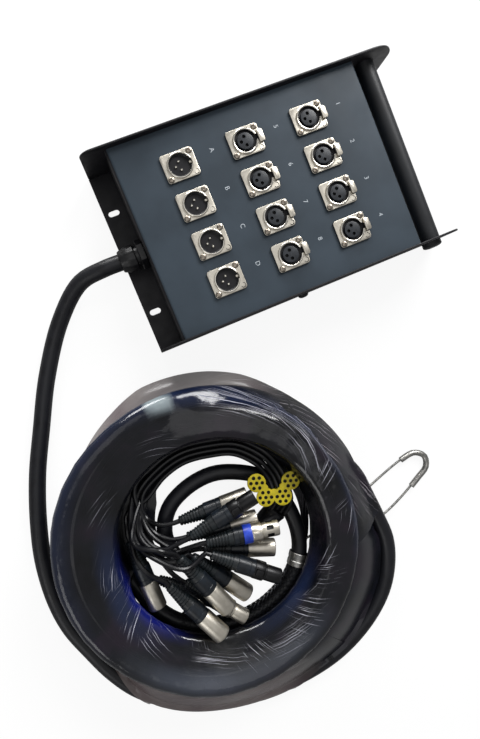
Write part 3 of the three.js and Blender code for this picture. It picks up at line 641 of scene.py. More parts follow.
panel = carved(across_y(panel_outline, -HALF_PANEL, HALF_PANEL), holes)
for i, face in enumerate(panel.faces):
    # The strip and the wall at the gland are black: painted shade, for there the one sheet lies in the box's
    # shadow and mirrors its wall.
    if panel.middle(face).x < WALL + SHEET + 0.05:
        panel.marks[i] = 1
piece("connector_panel_sheet", panel, [panel_paint, black_coat_and_shade], replaces=["connector_panel"])


def side_outline(inset):
    """A side plate's outline; its largest corner is above the handle."""
    return rounded(PLATE_START, PLATE_END, 0, PLATE_TOP, (3, 12, 28, 12), inset, 20)


HANDLE_RADIUS, HANDLE_HALF = 9.9, 103
to_handle = moved(140.7, 0, 42) @ spun(90, "X")
cheek_hole = at(to_handle, cylinder(10.2, -110, 110, 40))
screw_head = lathe([(0, -1), (5.5, -1), (5.5, 0.8), (5.2, 1.7), (4.2, 2.7), (2.6, 3.3), (1.9, 3.45),
                    (1.8, 3.2), (1.8, 2.0), (0, 2.0)], 28)
for name, sign in (("left", 1), ("right", -1)):
    # Spun about X, a height of the prism becomes the opposite of Y
    low, high = sorted((-sign * PLATE_INSIDE, -sign * PLATE_OUTSIDE))
    cheek = at(spun(90, "X"), prism(side_outline, soft_edges(low, high, 0.4)))
    piece("side_cheek_" + name, carved(cheek, cheek_hole), [black_coat_and_shade],
          replaces=["side_plate_" + name])
    # Button-head screw outside the plate
    outward = moved(-8, sign * PLATE_OUTSIDE, 35) @ spun(-90 * sign, "X")
    piece("side_screw_" + name, at(outward, screw_head), [black_coat_and_shade])

cap = [(0, -105.8), (4, -105.75), (7.2, -105.2), (9.1, -104.4), (HANDLE_RADIUS, -103.4)]
handle = lathe(cap + [(HANDLE_RADIUS, -HANDLE_HALF), (HANDLE_RADIUS, HANDLE_HALF)]
               + [(r, -z) for r, z in reversed(cap)])
piece("carrying_tube", at(to_handle, handle), [handle_paint], replaces=["handle_tube"])

tray_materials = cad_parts["base_tray"].data.materials
tray_materials.clear()
tray_materials.append(black_coat_and_shade)


# Gland, built along Z from the wall outwards
HEX_RADIUS = 15.3


def hexagon(inset):
    turns = [math.radians(30 + 60 * k) for k in range(6)]
    return [((HEX_RADIUS - inset) * math.cos(turn), (HEX_RADIUS - inset) * math.sin(turn)) for turn in turns]


to_cable = moved(WALL, 0, GLAND_HEIGHT) @ spun(-90, "Y")
gland = at(to_cable, prism(hexagon, [(1.2, 0.3), (0, 1.1), (0, 6.5), (1.2, 7.3)]),
           lathe([(11, 7), (11, 10.3)], 40), lathe([(10, -6.3), (10, 7)], 32),
           prism(hexagon, [(0.6, -6.3), (0, -5.8), (0, -2.8), (0.6, -2.3)]))
piece("gland_hex_body", gland, [gland_nylon], replaces=["gland_body"])
dome = lathe([(0, 10.6), (12.6, 10.6), (13.4, 11.4), (13.4, 15.6), (13.1, 18), (12.6, 20.5), (11.8, 23),
              (11.2, 25.2), (10.5, 26.6), (9.6, 27), (8.6, 26.6), (8.6, 20), (0, 20)])
for point in dome.points:
    # Twelve shallow flutes round the skirt
    if math.hypot(point.x, point.y) > 11 and point.z < 25:
        swing = 1 - 0.035 * max(0, math.cos(12 * math.atan2(point.y, point.x)))
        point.x *= swing
        point.y *= swing
piece("gland_dome", at(to_cable, dome), [gland_nylon], replaces=["gland_dome_nut"])


# Panel connectors, each built about Z at its own heights above the floor
FLANGE_BASE, FLANGE_TOP, RIM_TOP, BRIGHT_ABOVE = 62.3, 64.5, 66.3, 65.9
HALF_FLANGE_X, HALF_FLANGE_Y = 16.6, 13.85
SCREW_X, SCREW_Y = 13, 10.4
screw_sides = [moved(SCREW_X * side, SCREW_Y * side, 0) for side in (-1, 1)]
contact_places = [moved(0, 4.2, 0), moved(0, -4.2, 0), moved(-4.2, 0, 0)]


def flange(notched):
    """The flange with its bore and countersinks, and a socket's notch below the latch."""
    body = plate(-HALF_FLANGE_X, HALF_FLANGE_X, -HALF_FLANGE_Y, HALF_FLANGE_Y, FLANGE_BASE, FLANGE_TOP,
                 (3,) * 4, 0.4, 0, 6)
    countersink = lathe([(0, 62), (2.0, 62), (2.0, 63.4), (3.3, 64.6), (3.3, 66), (0, 66)], 24)
    body = carved(body, copies(countersink, screw_sides).join(cylinder(12.2, 60, 66, 64)))
    if notched:
        body = carved(body, box_form(13.0, 18, -6.45, 6.45, 61, 66))
        body = carved(body, box_form(9, 13.1, -3.1, 3.1, 61, 66))
    return body


def rim(inside, cutter, dark_below):
    """The turned rim and barrel; the faces inside the bore below a height are dark."""
    outside = [(12.6, 62.4), (12.7, 64.9), (12.7, 65.5), (12.5, 66.0), (12.15, 66.25), (11.85, RIM_TOP)]
    barrel = [(0, 46.3), (0, 44.5), (12.1, 44.5), (12.1, 62.4), (12.6, 62.4)]
    ring = carved(lathe(outside + inside + barrel, 96), cutter)
    for i, face in enumerate(ring.faces):
        middle = ring.middle(face)
        if math.hypot(middle.x, middle.y) < 11.2 and middle.z < dark_below:
            ring.marks[i] = 2
        elif middle.z > BRIGHT_ABOVE:
            ring.marks[i] = 1
    return ring


socket_ring = rim([(11.2, 66.25), (10.85, 66.0), (10.7, 65.4), (10.7, 46.3)],
                  box_form(8, 14, -3.1, 3.1, 60, 68), 65.45)
plug_ring = rim([(11.4, 66.25), (11.15, 66.0), (11.0, 65.4), (11.0, 64.3), (9.8, 63.4), (9.8, 46.3)],
                box_form(10.2, 12.2, -3.2, 3.2, 60, 68), 65.5)
plug_ring.join(lathe([(9.8, 63.1), (10.1, 63.55), (10.5, 63.7)], 64))
plug_ring.join(plate(9.2, 11.9, -1.0, 1.0, 50, 64.4, (0.3,) * 4, 0.2, 0, 2))
# A black rim under each flange and a little wider than it: painted shade, for the flange's shaded sides and
# its shadow on the panel
painted_shade_rim = carved(plate(-16.75, 16.75, -14.0, 14.0, 62.0, 63.5, (3.1,) * 4, 0.1, 3, 6),
                box_form(-16, 16, -13.2, 13.2, 62.4, 65, 3))
# The sockets' black shade rim is low under the latch, which comes down into it
notched_painted_shade_rim = carved(painted_shade_rim, box_form(13.0, 18, -6.5, 6.5, 62.15, 65, 3))
# A thin raised curve round the flange's third corner
crescent_turns = [math.radians(degrees) for degrees in range(200, 441, 15)]
crescent = tube([Vector((SCREW_X + 2.3 * math.cos(turn), -10.3 + 2.3 * math.sin(turn), FLANGE_TOP))
                 for turn in crescent_turns], 0.3, 6, 3)
core = lathe([(0, 46.6), (8.1, 46.6), (8.1, 64.9), (7.95, 65.2), (7.6, 65.3), (0, 65.3)])
well = lathe([(0, 55), (1.5, 55), (1.5, 64.9), (1.8, 65.4), (1.8, 67), (0, 67)], 20, 1)
socket_core = carved(core, copies(well, contact_places))
pin = lathe([(1.2, 50), (1.2, 63.3), (1.05, 63.9), (0.7, 64.2), (0, 64.3)], 16, 1)
plug_core = cylinder(9.5, 46.6, 50.3, 32).join(copies(pin, contact_places))
TAB_BASE, TAB_TOP = 63.8, 67.0
tab = plate(13.3, 19.4, -6.15, 6.15, TAB_BASE, TAB_TOP, (0.4, 2.4, 2.4, 0.4), 0.5, 0, 6)
for point in tab.points:
    # The latch slopes down towards its outer end
    point.z -= 0.3 * max(0, point.x - 16.2) * (point.z - TAB_BASE) / (TAB_TOP - TAB_BASE)
socket_face, plug_face = flange(True), flange(False)

for x, y, mark in panel_places:
    place, female = moved(x, y, 0), mark.isdigit()
    node = ("socket_" if female else "plug_") + mark.lower()
    parts = (notched_painted_shade_rim, socket_face, socket_ring) if female else (painted_shade_rim, plug_face, plug_ring)
    piece(f"panel_{node}_casting", at(place, *parts, crescent), [nickel, bright, black_nylon_and_shade, black_coat_and_shade],
          replaces=[node + "_shell"])
    if female:
        piece(f"panel_{node}_core", at(place, socket_core), [insert_slate, black_nylon_and_shade],
              replaces=[node + "_insert"])
        piece(f"panel_{node}_release", at(place, tab), [nickel], body=node + "_latch",
              replaces=[node + "_latch"])
    else:
        piece(f"panel_{node}_contacts", at(place, plug_core), [black_nylon_and_shade, bright],
              replaces=[node + "_insert"])


# Flange screws, set out by Geometry Nodes
def screws_on_points(name, model, places, turns, material):
    """Copies of a form at points, each turned its own way, as one plain mesh."""
    tree = bpy.data.node_groups.new(name + "_repeat", "GeometryNodeTree")
    inputs = {key: tree.interface.new_socket(key, in_out="INPUT", socket_type="NodeSocket" + kind)
              for key, kind in (("Geometry", "Geometry"), ("Item", "Object"), ("Size", "Float"),
                                ("Material", "Material"))}
    tree.interface.new_socket("Geometry", in_out="OUTPUT", socket_type="NodeSocketGeometry")
    start = add(tree, "NodeGroupInput")
    info = add(tree, "GeometryNodeObjectInfo", {"Object": start.outputs["Item"]})
    turn = add(tree, "GeometryNodeInputNamedAttribute", {"Name": "turn"}, data_type="FLOAT_VECTOR")
    copied = add(tree, "GeometryNodeInstanceOnPoints", {
        "Points": start.outputs["Geometry"], "Instance": info.outputs["Geometry"],
        "Rotation": turn.outputs["Attribute"], "Scale": start.outputs["Size"]})
    real = add(tree, "GeometryNodeRealizeInstances", {"Geometry": copied})
    done = add(tree, "GeometryNodeSetMaterial", {"Geometry": real, "Material": start.outputs["Material"]})
    add(tree, "NodeGroupOutput", {"Geometry": done})
    sample = shown(name + "_sample", mesh_of(model, name + "_sample"))
    shade(sample.data)
    points = bpy.data.meshes.new(name)
    points.from_pydata([Vector(p) * MM for p in places], [], [])
    turned_by = points.attributes.new("turn", "FLOAT_VECTOR", "POINT")
    for value, turn_at in zip(turned_by.data, turns):
        value.vector = turn_at
    made = shown(name, points)
    modifier = made.modifiers.new("repeat", "NODES")
    modifier.node_group = tree
    for key, value in (("Item", sample), ("Size", 1.0), ("Material", material)):
        modifier[inputs[key].identifier] = value
    whole = baked(made)
    made.modifiers.clear()
    made.data = whole
    whole.name = name
    bpy.data.objects.remove(sample)
    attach(made, MAIN)


screw_body = lathe([(0, 62.6), (1.5, 62.6), (1.5, 63.6), (2.8, FLANGE_TOP), (2.9, 64.95), (2.7, 65.4),
                    (2.1, 65.75), (1.1, 65.9), (0, 65.95)], 28)
recess = plate(-1.6, 1.6, -0.33, 0.33, 64.9, 66.4, (0.05,) * 4, 0.02, 0, 1)
crossed = carved(carved(screw_body, recess), at(spun(90, "Z"), recess))
screw_places, screw_turns = [], []
for x, y, mark in panel_places:
    for side in (-1, 1):
        screw_places.append((x + SCREW_X * side, y + SCREW_Y * side, FLANGE_TOP))
        screw_turns.append((0, 0, random.uniform(0, math.pi)))
screws_on_points("flange_screws", at(moved(0, 0, -FLANGE_TOP), crossed), screw_places, screw_turns,
                 screw_zinc)


# Printed numbers and letters, read from the gland's end
LABEL_SIZE, LABEL_HEIGHT = 6.5, 62.03
LABEL_BESIDE = (34.5, 3.9)


def label(text, x, y):
    name = "label_" + text
    curve = bpy.data.curves.new(name, "FONT")
    curve.body, curve.size, curve.align_x, curve.align_y = text, LABEL_SIZE * MM, "CENTER", "CENTER"
    curve.extrude = 0.03 * MM
    curve.offset = -0.04 * MM
    written = shown(name, curve)
    mesh = baked(written)
    bpy.data.objects.remove(written)
    mesh.transform(moved(x * MM, y * MM, LABEL_HEIGHT * MM) @ spun(-90, "Z"))
    mesh.materials.clear()
    mesh.materials.append(label_ink)
    printed = shown(name, mesh)
    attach(printed, MAIN)


for x, y, mark in panel_places:
    label(mark, x + LABEL_BESIDE[0], y + LABEL_BESIDE[1])


# Cable connectors, built along Z from the boot's end to the tip
def boot_form():
    """Rubber strain relief: ribs that widen towards the shell, with a groove behind each."""
    profile = [(0, 0), (3.6, 0), (4.6, 0.4), (5.0, 1.2)]
    for k in range(7):
        z = 2.6 + 3.1 * k
        r = 5.1 + 2.4 * k / 6.5
        profile += [(r, z), (r - 0.75, z + 0.35), (r - 0.7, z + 1.0), (r + 0.35, z + 1.35)]
    profile += [(7.9, 25.6), (8.0, 27.6), (8.2, 28.2)]
    return lathe(profile, 32, 1)


def shell_form(female, ringed):
    """Boot, sleeve and metal shell, with an insert's holes or three pins in its mouth."""
    form = boot_form()
    end = 38 if ringed else 46
    form.join(lathe([(7.6, 27.6), (8.6, 27.9), (8.95, 28.4), (9.0, 33), (9.0, end - 5.4), (8.7, end - 5.1),
                     (8.7, end - 4.7), (9.05, end - 4.4), (9.1, end - 0.4), (8.8, end)], 48, 5))
    if ringed:
        form.join(lathe([(8.8, 38), (9.6, 38.2), (9.75, 38.8), (9.75, 46.2), (9.6, 46.8), (8.8, 47)], 48, 2))
    back = [(8.8, 45.9), (9.3, 46.1), (9.5, 46.6)]
    if female:
        form.join(lathe(back + [
            (9.5, 56.4), (9.3, 57.0), (8.5, 57.3), (7.5, 57.5), (7.5, 58.7), (7.9, 58.9), (8.0, 59.3),
            (8.0, 73.6), (7.8, 74.5), (7.3, PLUG), (6.9, PLUG), (6.6, 74.4), (6.6, 60)]))
        contact_holes = copies(cylinder(1.3, 66, 76, 12, 3), contact_places)
        form.join(carved(cylinder(6.7, 60, 74.2, 32, 3), contact_holes))
    else:
        form.join(lathe(back + [
            (9.5, 73.4), (9.35, 74.4), (8.95, 74.95), (8.5, PLUG), (8.15, 74.7), (8.0, 74.0), (8.0, 60)]))
        form.join(lathe([(8.0, 60), (0, 60)], 32, 3))
        form.join(copies(lathe([(1.2, 60), (1.2, 72.6), (0.9, 73.3), (0, 73.5)], 12, 4), contact_places))
    return form


def laid(start, towards):
    """The place of a form built along X, with Z as its top, that lies from one point to another."""
    along = (towards - start).normalized()
    side = Vector((0, 0, 1)).cross(along).normalized()
    turn = Matrix((along, side, along.cross(side))).transposed().to_4x4()
    return Matrix.Translation(start) @ turn


along_x = spun(90, "Y") @ spun(180, "Z")
latch_pocket = plate(46.8, 56.2, -3.3, 3.3, 6.2, 12, (0.8,) * 4, 0.1, 0, 3)
window = plate(62, 69, -2.2, 2.2, 5.5, 12, (0.6,) * 4, 0.1, 3, 3)
models = {
    "female": carved(at(along_x, shell_form(True, False)), latch_pocket),
    "ringed": carved(carved(at(along_x, shell_form(True, True)), latch_pocket),
                     copies(window, [spun(60 * k + 30, "X") for k in range(6)])),
    "male": at(along_x, shell_form(False, False))}
catch = plate(47.5, 55.5, -3, 3, 7.6, 10.2, (1.4, 0.5, 0.5, 1.4), 0.4, 0, 5)
for (cable, path), number, (female, finish, ends) in zip(tails, NUMBERS, tail_routes):
    boot, tip = boot_and_tip(ends)
    place = laid(boot, tip)
    shell = black_shell if finish == "black" else nickel
    model = models["ringed" if finish == "blue" else "female" if female else "male"]
    parts = [piece("connector_" + number, at(place, model),
                   [shell, boot_rubber, blue_ring, black_nylon_and_shade, bright, sleeve_nylon],
                   replaces=["cable_connector_" + number])]
    if female:
        parts.append(piece("release_" + number, at(place, catch), [bright if finish == "blue" else shell],
                           body="cable_latch_" + number, replaces=["cable_latch_" + number]))
    route_length(path)

# Breakout boot
boot_middle = breakout_start.lerp(breakout_end, 0.5)
boot_points = [ahead(breakout_end, breakout_start, 6), breakout_start,
               breakout_start.lerp(boot_middle, 0.5), boot_middle, boot_middle.lerp(breakout_end, 0.6),
               breakout_end, ahead(breakout_start, breakout_end, 0.8)]
breakout = piece("breakout_boot", tube(boot_points, [8.8, 9.2, 10.6, 11.4, 11.5, 11.5, 10.6], 32),
                 [tail_jacket])


# Pulling grip: a woven sleeve on the lead, a collar and the bail
def nearest(points, wanted):
    return min(range(len(points)), key=lambda i: (points[i] - Vector(wanted)).length)


# Its strands are fewer and thicker than real ones, so that they show
STRANDS, STRAND_RADIUS, SLEEVE_RADIUS, WEAVE_DEPTH = 14, 0.42, 9.35, 0.3
TWIST, STRAND_FLOOR = 0.16, 0.4
sleeve_span = lead_points[nearest(lead_points, lead_route[0]):nearest(lead_points, lead_route[4]) + 1]
sleeve_path = smooth(sleeve_span, SLEEVE_STEP, CABLE_RADIUS)
sleeve_frames = frames(sleeve_path)
sleeve = Form()
for strand in range(STRANDS):
    for direction in (-1, 1):
        points = []
        for i, (point, (along, side, top)) in enumerate(zip(sleeve_path, sleeve_frames)):
            angle = math.tau * strand / STRANDS + direction * i * TWIST
            phase = angle * STRANDS / 2 + (0 if direction > 0 else math.pi)
            over = SLEEVE_RADIUS + WEAVE_DEPTH * math.cos(phase)
            found = point + side * (over * math.cos(angle)) + top * (over * math.sin(angle))
            found.z = max(found.z, STRAND_FLOOR)
            points.append(found)
        sleeve.join(tube(points, STRAND_RADIUS, 5))
grip_sleeve = piece("grip_sleeve", sleeve, [mesh_wire])
COLLAR = 14
between = [a.lerp(b, 0.5) for a, b in zip(lead_points, lead_points[1:])]
collar_at = nearest(between, (-118, -362, 11.3))
heading = (lead_points[collar_at + 1] - lead_points[collar_at]).normalized() * (COLLAR / 2)
collar = lathe([(9.4, 0), (10.6, 0), (11, 0.5), (11, 5.2), (10.6, 5.8), (10.6, 8.2), (11, 8.8), (11, 13.5),
                (10.6, COLLAR), (9.4, COLLAR), (9.4, 0)], 40)
collar_place = laid(between[collar_at] - heading, between[collar_at] + heading) @ along_x
grip_crimp = piece("grip_crimp", at(collar_place, collar), [wire_steel],
                   replaces=["pulling_grip"])
bail = piece("grip_bail", tube(bail_points, BAIL_RADIUS, 12), [wire_steel])
THIMBLE_RADIUS = 3.3
eye = bail_points[round(len(bail_points) * 0.4):round(len(bail_points) * 0.6)]
eye_points = [Vector((p.x, p.y, max(p.z, THIMBLE_RADIUS + 0.1))) for p in eye]
thimble = piece("bail_thimble", tube(eye_points, THIMBLE_RADIUS, 16), [wire_steel])
route_length(bail_points)
route_length(multicore_points)

# Comb: four round lobes on a bow, joined by three small discs
LOBE_RADIUS, LOBES_OUT, JOINT_RADIUS, JOINTS_OUT, COMB_THICK = 9.7, 18, 5, 12.5, 2.4
HOLE_RADIUS, HOLES_OUT = 1.9, 6


def at_angle(reach, degrees):
    return Vector((reach * math.cos(math.radians(degrees)), reach * math.sin(math.radians(degrees))))


lobes = [at_angle(LOBES_OUT, -60 * k) for k in range(4)]
discs = [(centre, LOBE_RADIUS) for centre in lobes]
discs += [(at_angle(JOINTS_OUT, -30 - 60 * k), JOINT_RADIUS) for k in range(3)]


def comb_outline(inset):
    """Out along the far sides of the discs and back along their near sides, seen from the middle."""
    reach = math.degrees(math.asin((LOBE_RADIUS - inset) / LOBES_OUT)) - 0.05
    outer, inner = [], []
    for k in range(141):
        way = at_angle(1, -180 - reach + (180 + 2 * reach) * k / 140)
        spans = []
        for centre, radius in discs:
            along = centre.dot(way)
            across = centre.length_squared - along * along
            if across < (radius - inset) ** 2 and along > 0:
                half = math.sqrt((radius - inset) ** 2 - across)
                spans.append((along - half, along + half))
        inner.append(tuple(way * min(span[0] for span in spans)))
        outer.append(tuple(way * max(span[1] for span in spans)))
    return outer + inner[::-1]


# Its holes are dark wells: the bright floor below would otherwise hide the shadow that the photo
# shows in them
hole_places = [centre + at_angle(HOLES_OUT if k else 0, 60 * k) for centre in lobes for k in range(7)]
comb_holes = copies(cylinder(HOLE_RADIUS, 0.4, 4, 20, 1), [moved(spot.x, spot.y, 0) for spot in hole_places])
comb = carved(prism(comb_outline, soft_edges(0, COMB_THICK, 0.4)), comb_holes)
piece("tail_comb", at(moved(-111.8, -266.8, 34.2) @ spun(-20, "Z"), comb), [comb_yellow, black_nylon_and_shade],
      replaces=["cable_comb"])


# Film
def strokes(tree, size_mm, length, turn, low, high):
    """Thin lines of crinkled film, stretched along one direction."""
    uv = add(tree, "ShaderNodeUVMap", uv_map="cable")
    space = add(tree, "ShaderNodeMapping", {"Vector": uv, "Rotation": (0, 0, turn), "Scale": (1, length, 1)},
                vector_type="TEXTURE").outputs["Vector"]
    crinkles = spots(tree, size_mm, 2.0, 0.5, space, 0.15)
    return add(tree, "ShaderNodeValToRGB", {"Fac": crinkles}, [(low, 0.0), (high, 1.0)])


def layered_film():
    """Stretch film in many layers: smooth, dark over the cable, with pale crinkles, navy tints, a painted
    blue highlight and painted reflections by place.
    """
    made, tree, shader = blank("layered_stretch_film")
    kept = {key: add(tree, "ShaderNodeAttribute", attribute_name=key).outputs["Fac"]
            for key in ("navy", "blue", "painted_sheen", "pale", "crinkle", "streak")}
    chosen = add(tree, "ShaderNodeValToRGB", {"Fac": spots(tree, 70, 1.0)}, [(0.47, 0.0), (0.53, 1.0)])
    fans = add(tree, "ShaderNodeMix", {
        0: chosen, 6: strokes(tree, 1.3, 60, 1.2, 0.61, 0.7), 7: strokes(tree, 1.2, 45, 0.45, 0.61, 0.7)},
        data_type="RGBA").outputs[2]
    fans = add(tree, "ShaderNodeMath", {0: fans, 1: kept["crinkle"]}, operation="MULTIPLY", use_clamp=True)
    streaks = add(tree, "ShaderNodeMath", {0: strokes(tree, 1.2, 80, 1.38, 0.56, 0.66), 1: kept["streak"]},
                  operation="MULTIPLY", use_clamp=True)
    lines = add(tree, "ShaderNodeMath", {0: fans, 1: streaks}, operation="MAXIMUM", use_clamp=True)
    cloudy = spots(tree, 60, 3.0, 0.55)
    base = add(tree, "ShaderNodeValToRGB", {"Fac": cloudy},
               [(0.35, "#090a0d"), (0.5, "#111218"), (0.62, "#1b151f")])
    # Navy tints, then a painted blue highlight, a painted grey reflection, a pale painted reflection and the
    # crinkle lines, over the base colour
    for amount, tint in ((kept["navy"], "#1b2540"), (kept["blue"], "#161f78"), (kept["painted_sheen"], "#454a55"),
                         (kept["pale"], "#8a9599"), (lines, "#dcdcea")):
        base = add(tree, "ShaderNodeMix", {0: amount, 6: base, 7: colour(tint)}, data_type="RGBA").outputs[2]
    veil = add(tree, "ShaderNodeValToRGB", {"Fac": cloudy}, [(0.35, 0.82), (0.6, 0.94)])
    crinkle = add(tree, "ShaderNodeBump", {"Height": lines, "Strength": 0.5, "Distance": 0.0006})
    wire(tree, shader, {
        "Base Color": base,
        "Alpha": add(tree, "ShaderNodeMath", {0: veil, 1: lines}, operation="MAXIMUM", use_clamp=True),
        "Roughness": add(tree, "ShaderNodeValToRGB", {"Fac": spots(tree, 25, 3.0)},
                         [(0.35, 0.1), (0.65, 0.22)]),
        "Normal": add(tree, "ShaderNodeBump", {
            "Height": spots(tree, 14), "Strength": 0.25, "Distance": 0.002, "Normal": crinkle}),
        "Specular IOR Level": 0.6})
    return made


def clear_film():
    """The same film clear of the cable: brown-grey and see-through, or dark where it lies on the run."""
    made, tree, shader = blank("free_stretch_film")
    darkness, crinkled = [add(tree, "ShaderNodeAttribute", attribute_name=key).outputs["Fac"]
                          for key in ("dark", "crinkle")]
    clear = add(tree, "ShaderNodeValToRGB", {"Fac": spots(tree, 50)}, [(0.35, "#5b4d50"), (0.65, "#7b7371")])
    dark = add(tree, "ShaderNodeValToRGB", {"Fac": spots(tree, 45)},
               [(0.4, "#0b0c10"), (0.5, "#12141c"), (0.62, "#1b1620")])
    tint = add(tree, "ShaderNodeMix", {0: darkness, 6: clear, 7: dark}, data_type="RGBA").outputs[2]
    streaks = add(tree, "ShaderNodeMath", {0: strokes(tree, 1.5, 60, 0.8, 0.6, 0.68), 1: crinkled},
                  operation="MULTIPLY", use_clamp=True)
    wire(tree, shader, {
        "Base Color": add(tree, "ShaderNodeMix", {0: streaks, 6: tint, 7: colour("#b3aeb4")},
                          data_type="RGBA").outputs[2],
        "Alpha": add(tree, "ShaderNodeValToRGB", {"Fac": darkness}, [(0.0, 0.9), (1.0, 1.0)]),
        "Roughness": 0.25})
    return made


# The ring of film is a net of points: how many round the coil and round its section, and the film's
# length and girth in metres, by which its pattern is laid out
TURNS, AROUND, RING_LENGTH, RING_GIRTH = 150, 72, 0.82, 0.2
# How far the film lies from a cable's middle, and how far above the floor
FILM_RADIUS, FILM_FLOOR = 9.6, 0.3


def film_section(angle):
    """The outline round the coil's cables at one angle, as (radius, height) points."""
    points = []
    for winding in range(7):
        at_winding = angle % 360 + 360 * winding
        if COIL_FROM <= at_winding <= COIL_TO:
            middle = coil_point(at_winding)
            r = math.hypot(middle.x - COIL_CENTRE[0], middle.y - COIL_CENTRE[1])
            for turn in [math.tau * k / 20 for k in range(20)]:
                z = middle.z + FILM_RADIUS * math.sin(turn)
                points.append((r + FILM_RADIUS * math.cos(turn), max(z, FILM_FLOOR)))
    hull = [points[i] for i in convex_hull_2d(points)]
    total = Vector((sum(p[0] for p in hull), sum(p[1] for p in hull))) / len(hull)
    found = []
    for k in range(AROUND):
        turn = math.tau * k / AROUND
        way = Vector((math.cos(turn), math.sin(turn)))
        best = 0
        for p, q in zip(hull, hull[1:] + hull[:1]):
            p, q = Vector(p) - total, Vector(q) - total
            edge = q - p
            cross = way.x * edge.y - way.y * edge.x
            if abs(cross) > 1e-9:
                t = (p.x * edge.y - p.y * edge.x) / cross
                s = (p.x * way.y - p.y * way.x) / cross
                if t > 0 and -1e-6 <= s <= 1 + 1e-6:
                    best = max(best, t)
        found.append(total + way * best)
    return found


sections = [film_section(360 * i / TURNS) for i in range(TURNS)]


def section_at(angle):
    """The film's outline nearest to an angle."""
    return sections[round(angle % 360 / 360 * TURNS) % TURNS]


def hump(value, middle, width):
    """One at the middle, falling to nothing a width away; angles wrap round."""
    away = abs((value - middle + 180) % 360 - 180) / width
    return (1 - away * away) ** 2 if away < 1 else 0.0


# Tints, a painted highlight, painted reflections and crinkles by place: an angle round the ring and one
# round its section, how far each reaches, and perhaps a strength
ring_marks = {
    "navy": [(110, 20, 60, 45), (165, 30, 55, 45), (60, 30, 45, 40), (20, 35, 30, 30), (350, 40, 30, 30),
             (300, 160, 40, 30), (180, 140, 45, 45)],
    # The blue marks are a painted highlight on the inner wall of the ring
    "blue": [(194, 172, 46, 30)],
    # A painted grey reflection on the ring's top, on its side away from the box
    "painted_sheen": [(238, 75, 40, 35, 0.8), (285, 80, 30, 30, 0.5)],
    # The pale marks are a small patch of painted reflection on the ring's outer upper side
    "pale": [(91.5, 38, 4.5, 26, 1.5), (87.4, 42, 3, 22, 1.2)],
    "crinkle": [(40, 35, 22, 55, 1.3), (12, 80, 16, 50, 0.7), (348, 60, 12, 40, 0.6),
                (325, 110, 16, 40, 0.9), (300, 120, 20, 50, 1.0), (268, 110, 16, 40, 0.7),
                (240, 140, 12, 30, 0.6), (205, 140, 22, 45, 0.9), (172, 140, 18, 45, 0.8),
                (135, 110, 14, 30, 0.6), (96, 115, 14, 35, 0.5)],
    "streak": [(52, 40, 26, 50, 1.6), (22, 75, 16, 40, 0.8), (285, 100, 14, 30, 0.8),
               (250, 120, 18, 25, 0.7)]}
# The free bands have crinkles only, by their angle alone
free_marks = {
    "crinkle": [(352, 0, 12, 90, 0.8), (20, 0, 16, 90, 1.3), (50, 0, 25, 90), (250, 0, 30, 90, 0.6)]}
marks_at = {key: [] for key in (*ring_marks, "dark")}
film_form = Form()


def strength(places, angle, around):
    return min(1.0, sum(hump(angle, a, w) * hump(around, b, h) * (full[0] if full else 1)
                        for a, b, w, h, *full in places))


def add_film_point(angle, r, z, around, marks, dark):
    """One point of the film, with how strong each tint, painted highlight, painted reflection and crinkle is
    there.
    """
    film_form.points.append(on_ring(angle, r, max(z, FILM_FLOOR)))
    for key, values in marks_at.items():
        values.append(dark if key == "dark" else strength(marks.get(key, ()), angle, around))


for i in range(TURNS):
    angle = 360 * i / TURNS
    near = [sections[(i + d) % TURNS] for d in (-2, -1, 0, 1, 2)]
    for k in range(AROUND):
        r, z = sum((section[k] for section in near), Vector((0, 0))) / 5
        sag = 0.5 * noise.noise(Vector((angle * 0.3, r * 0.1, z * 0.1)))
        add_film_point(angle, r + sag, z + sag, 360 * k / AROUND, ring_marks, 0.0)
for i in range(TURNS):
    a, b = i * AROUND, (i + 1) % TURNS * AROUND
    u0, u1 = RING_LENGTH * i / TURNS, RING_LENGTH * (i + 1) / TURNS
    for k in range(AROUND):
        n = (k + 1) % AROUND
        v0, v1 = RING_GIRTH * k / AROUND, RING_GIRTH * (k + 1) / AROUND
        film_form.face([a + k, b + k, b + n, a + n], 0, [(u0, v0), (u1, v0), (u1, v1), (u0, v1)])


# A free band's squares, along and across it, in metres
FREE_LONG, FREE_WIDE = 0.005, 0.01


def free_film(start, end, profile, darkness, skew=0):
    """A band of film beside the ring: profile gives its (radius, height) points at an angle, and skew
    turns the outer corner of its first edge by so many degrees."""
    first, count, steps = len(film_form.points), len(profile(start)), round((end - start) / 2)
    for i in range(steps + 1):
        share = i / steps
        angle = start + (end - start) * share
        for k in range(count):
            own = angle + skew * (1 - share) ** 3 * k / (count - 1)
            add_film_point(own, *profile(own)[k], 0, free_marks, darkness(angle))
    for i in range(steps):
        a, b = first + i * count, first + (i + 1) * count
        u0, u1 = FREE_LONG * i, FREE_LONG * (i + 1)
        for k in range(count - 1):
            v0, v1 = FREE_WIDE * k, FREE_WIDE * (k + 1)
            film_form.face([a + k, a + k + 1, b + k + 1, b + k], 1, [(u0, v0), (u0, v1), (u1, v1), (u1, v0)])


# How far out the free film reaches along its upper edge, and how far in its loose inner edge lies on
# the floor of the ring: angle and radius
outer_reach = [(6, 172.5), (20, 169.8), (35, 167.4), (45, 168), (58, 171.9), (70, 173), (95, 174),
               (108, 168.3), (124, 163)]
inner_reach = [(317, 112), (326, 98), (356, 97), (367, 96), (382, 95), (400, 91), (450, 88), (467, 87),
               (479, 79), (491, 69), (502, 66), (518, 62), (535, 74), (552, 97), (560, 112)]
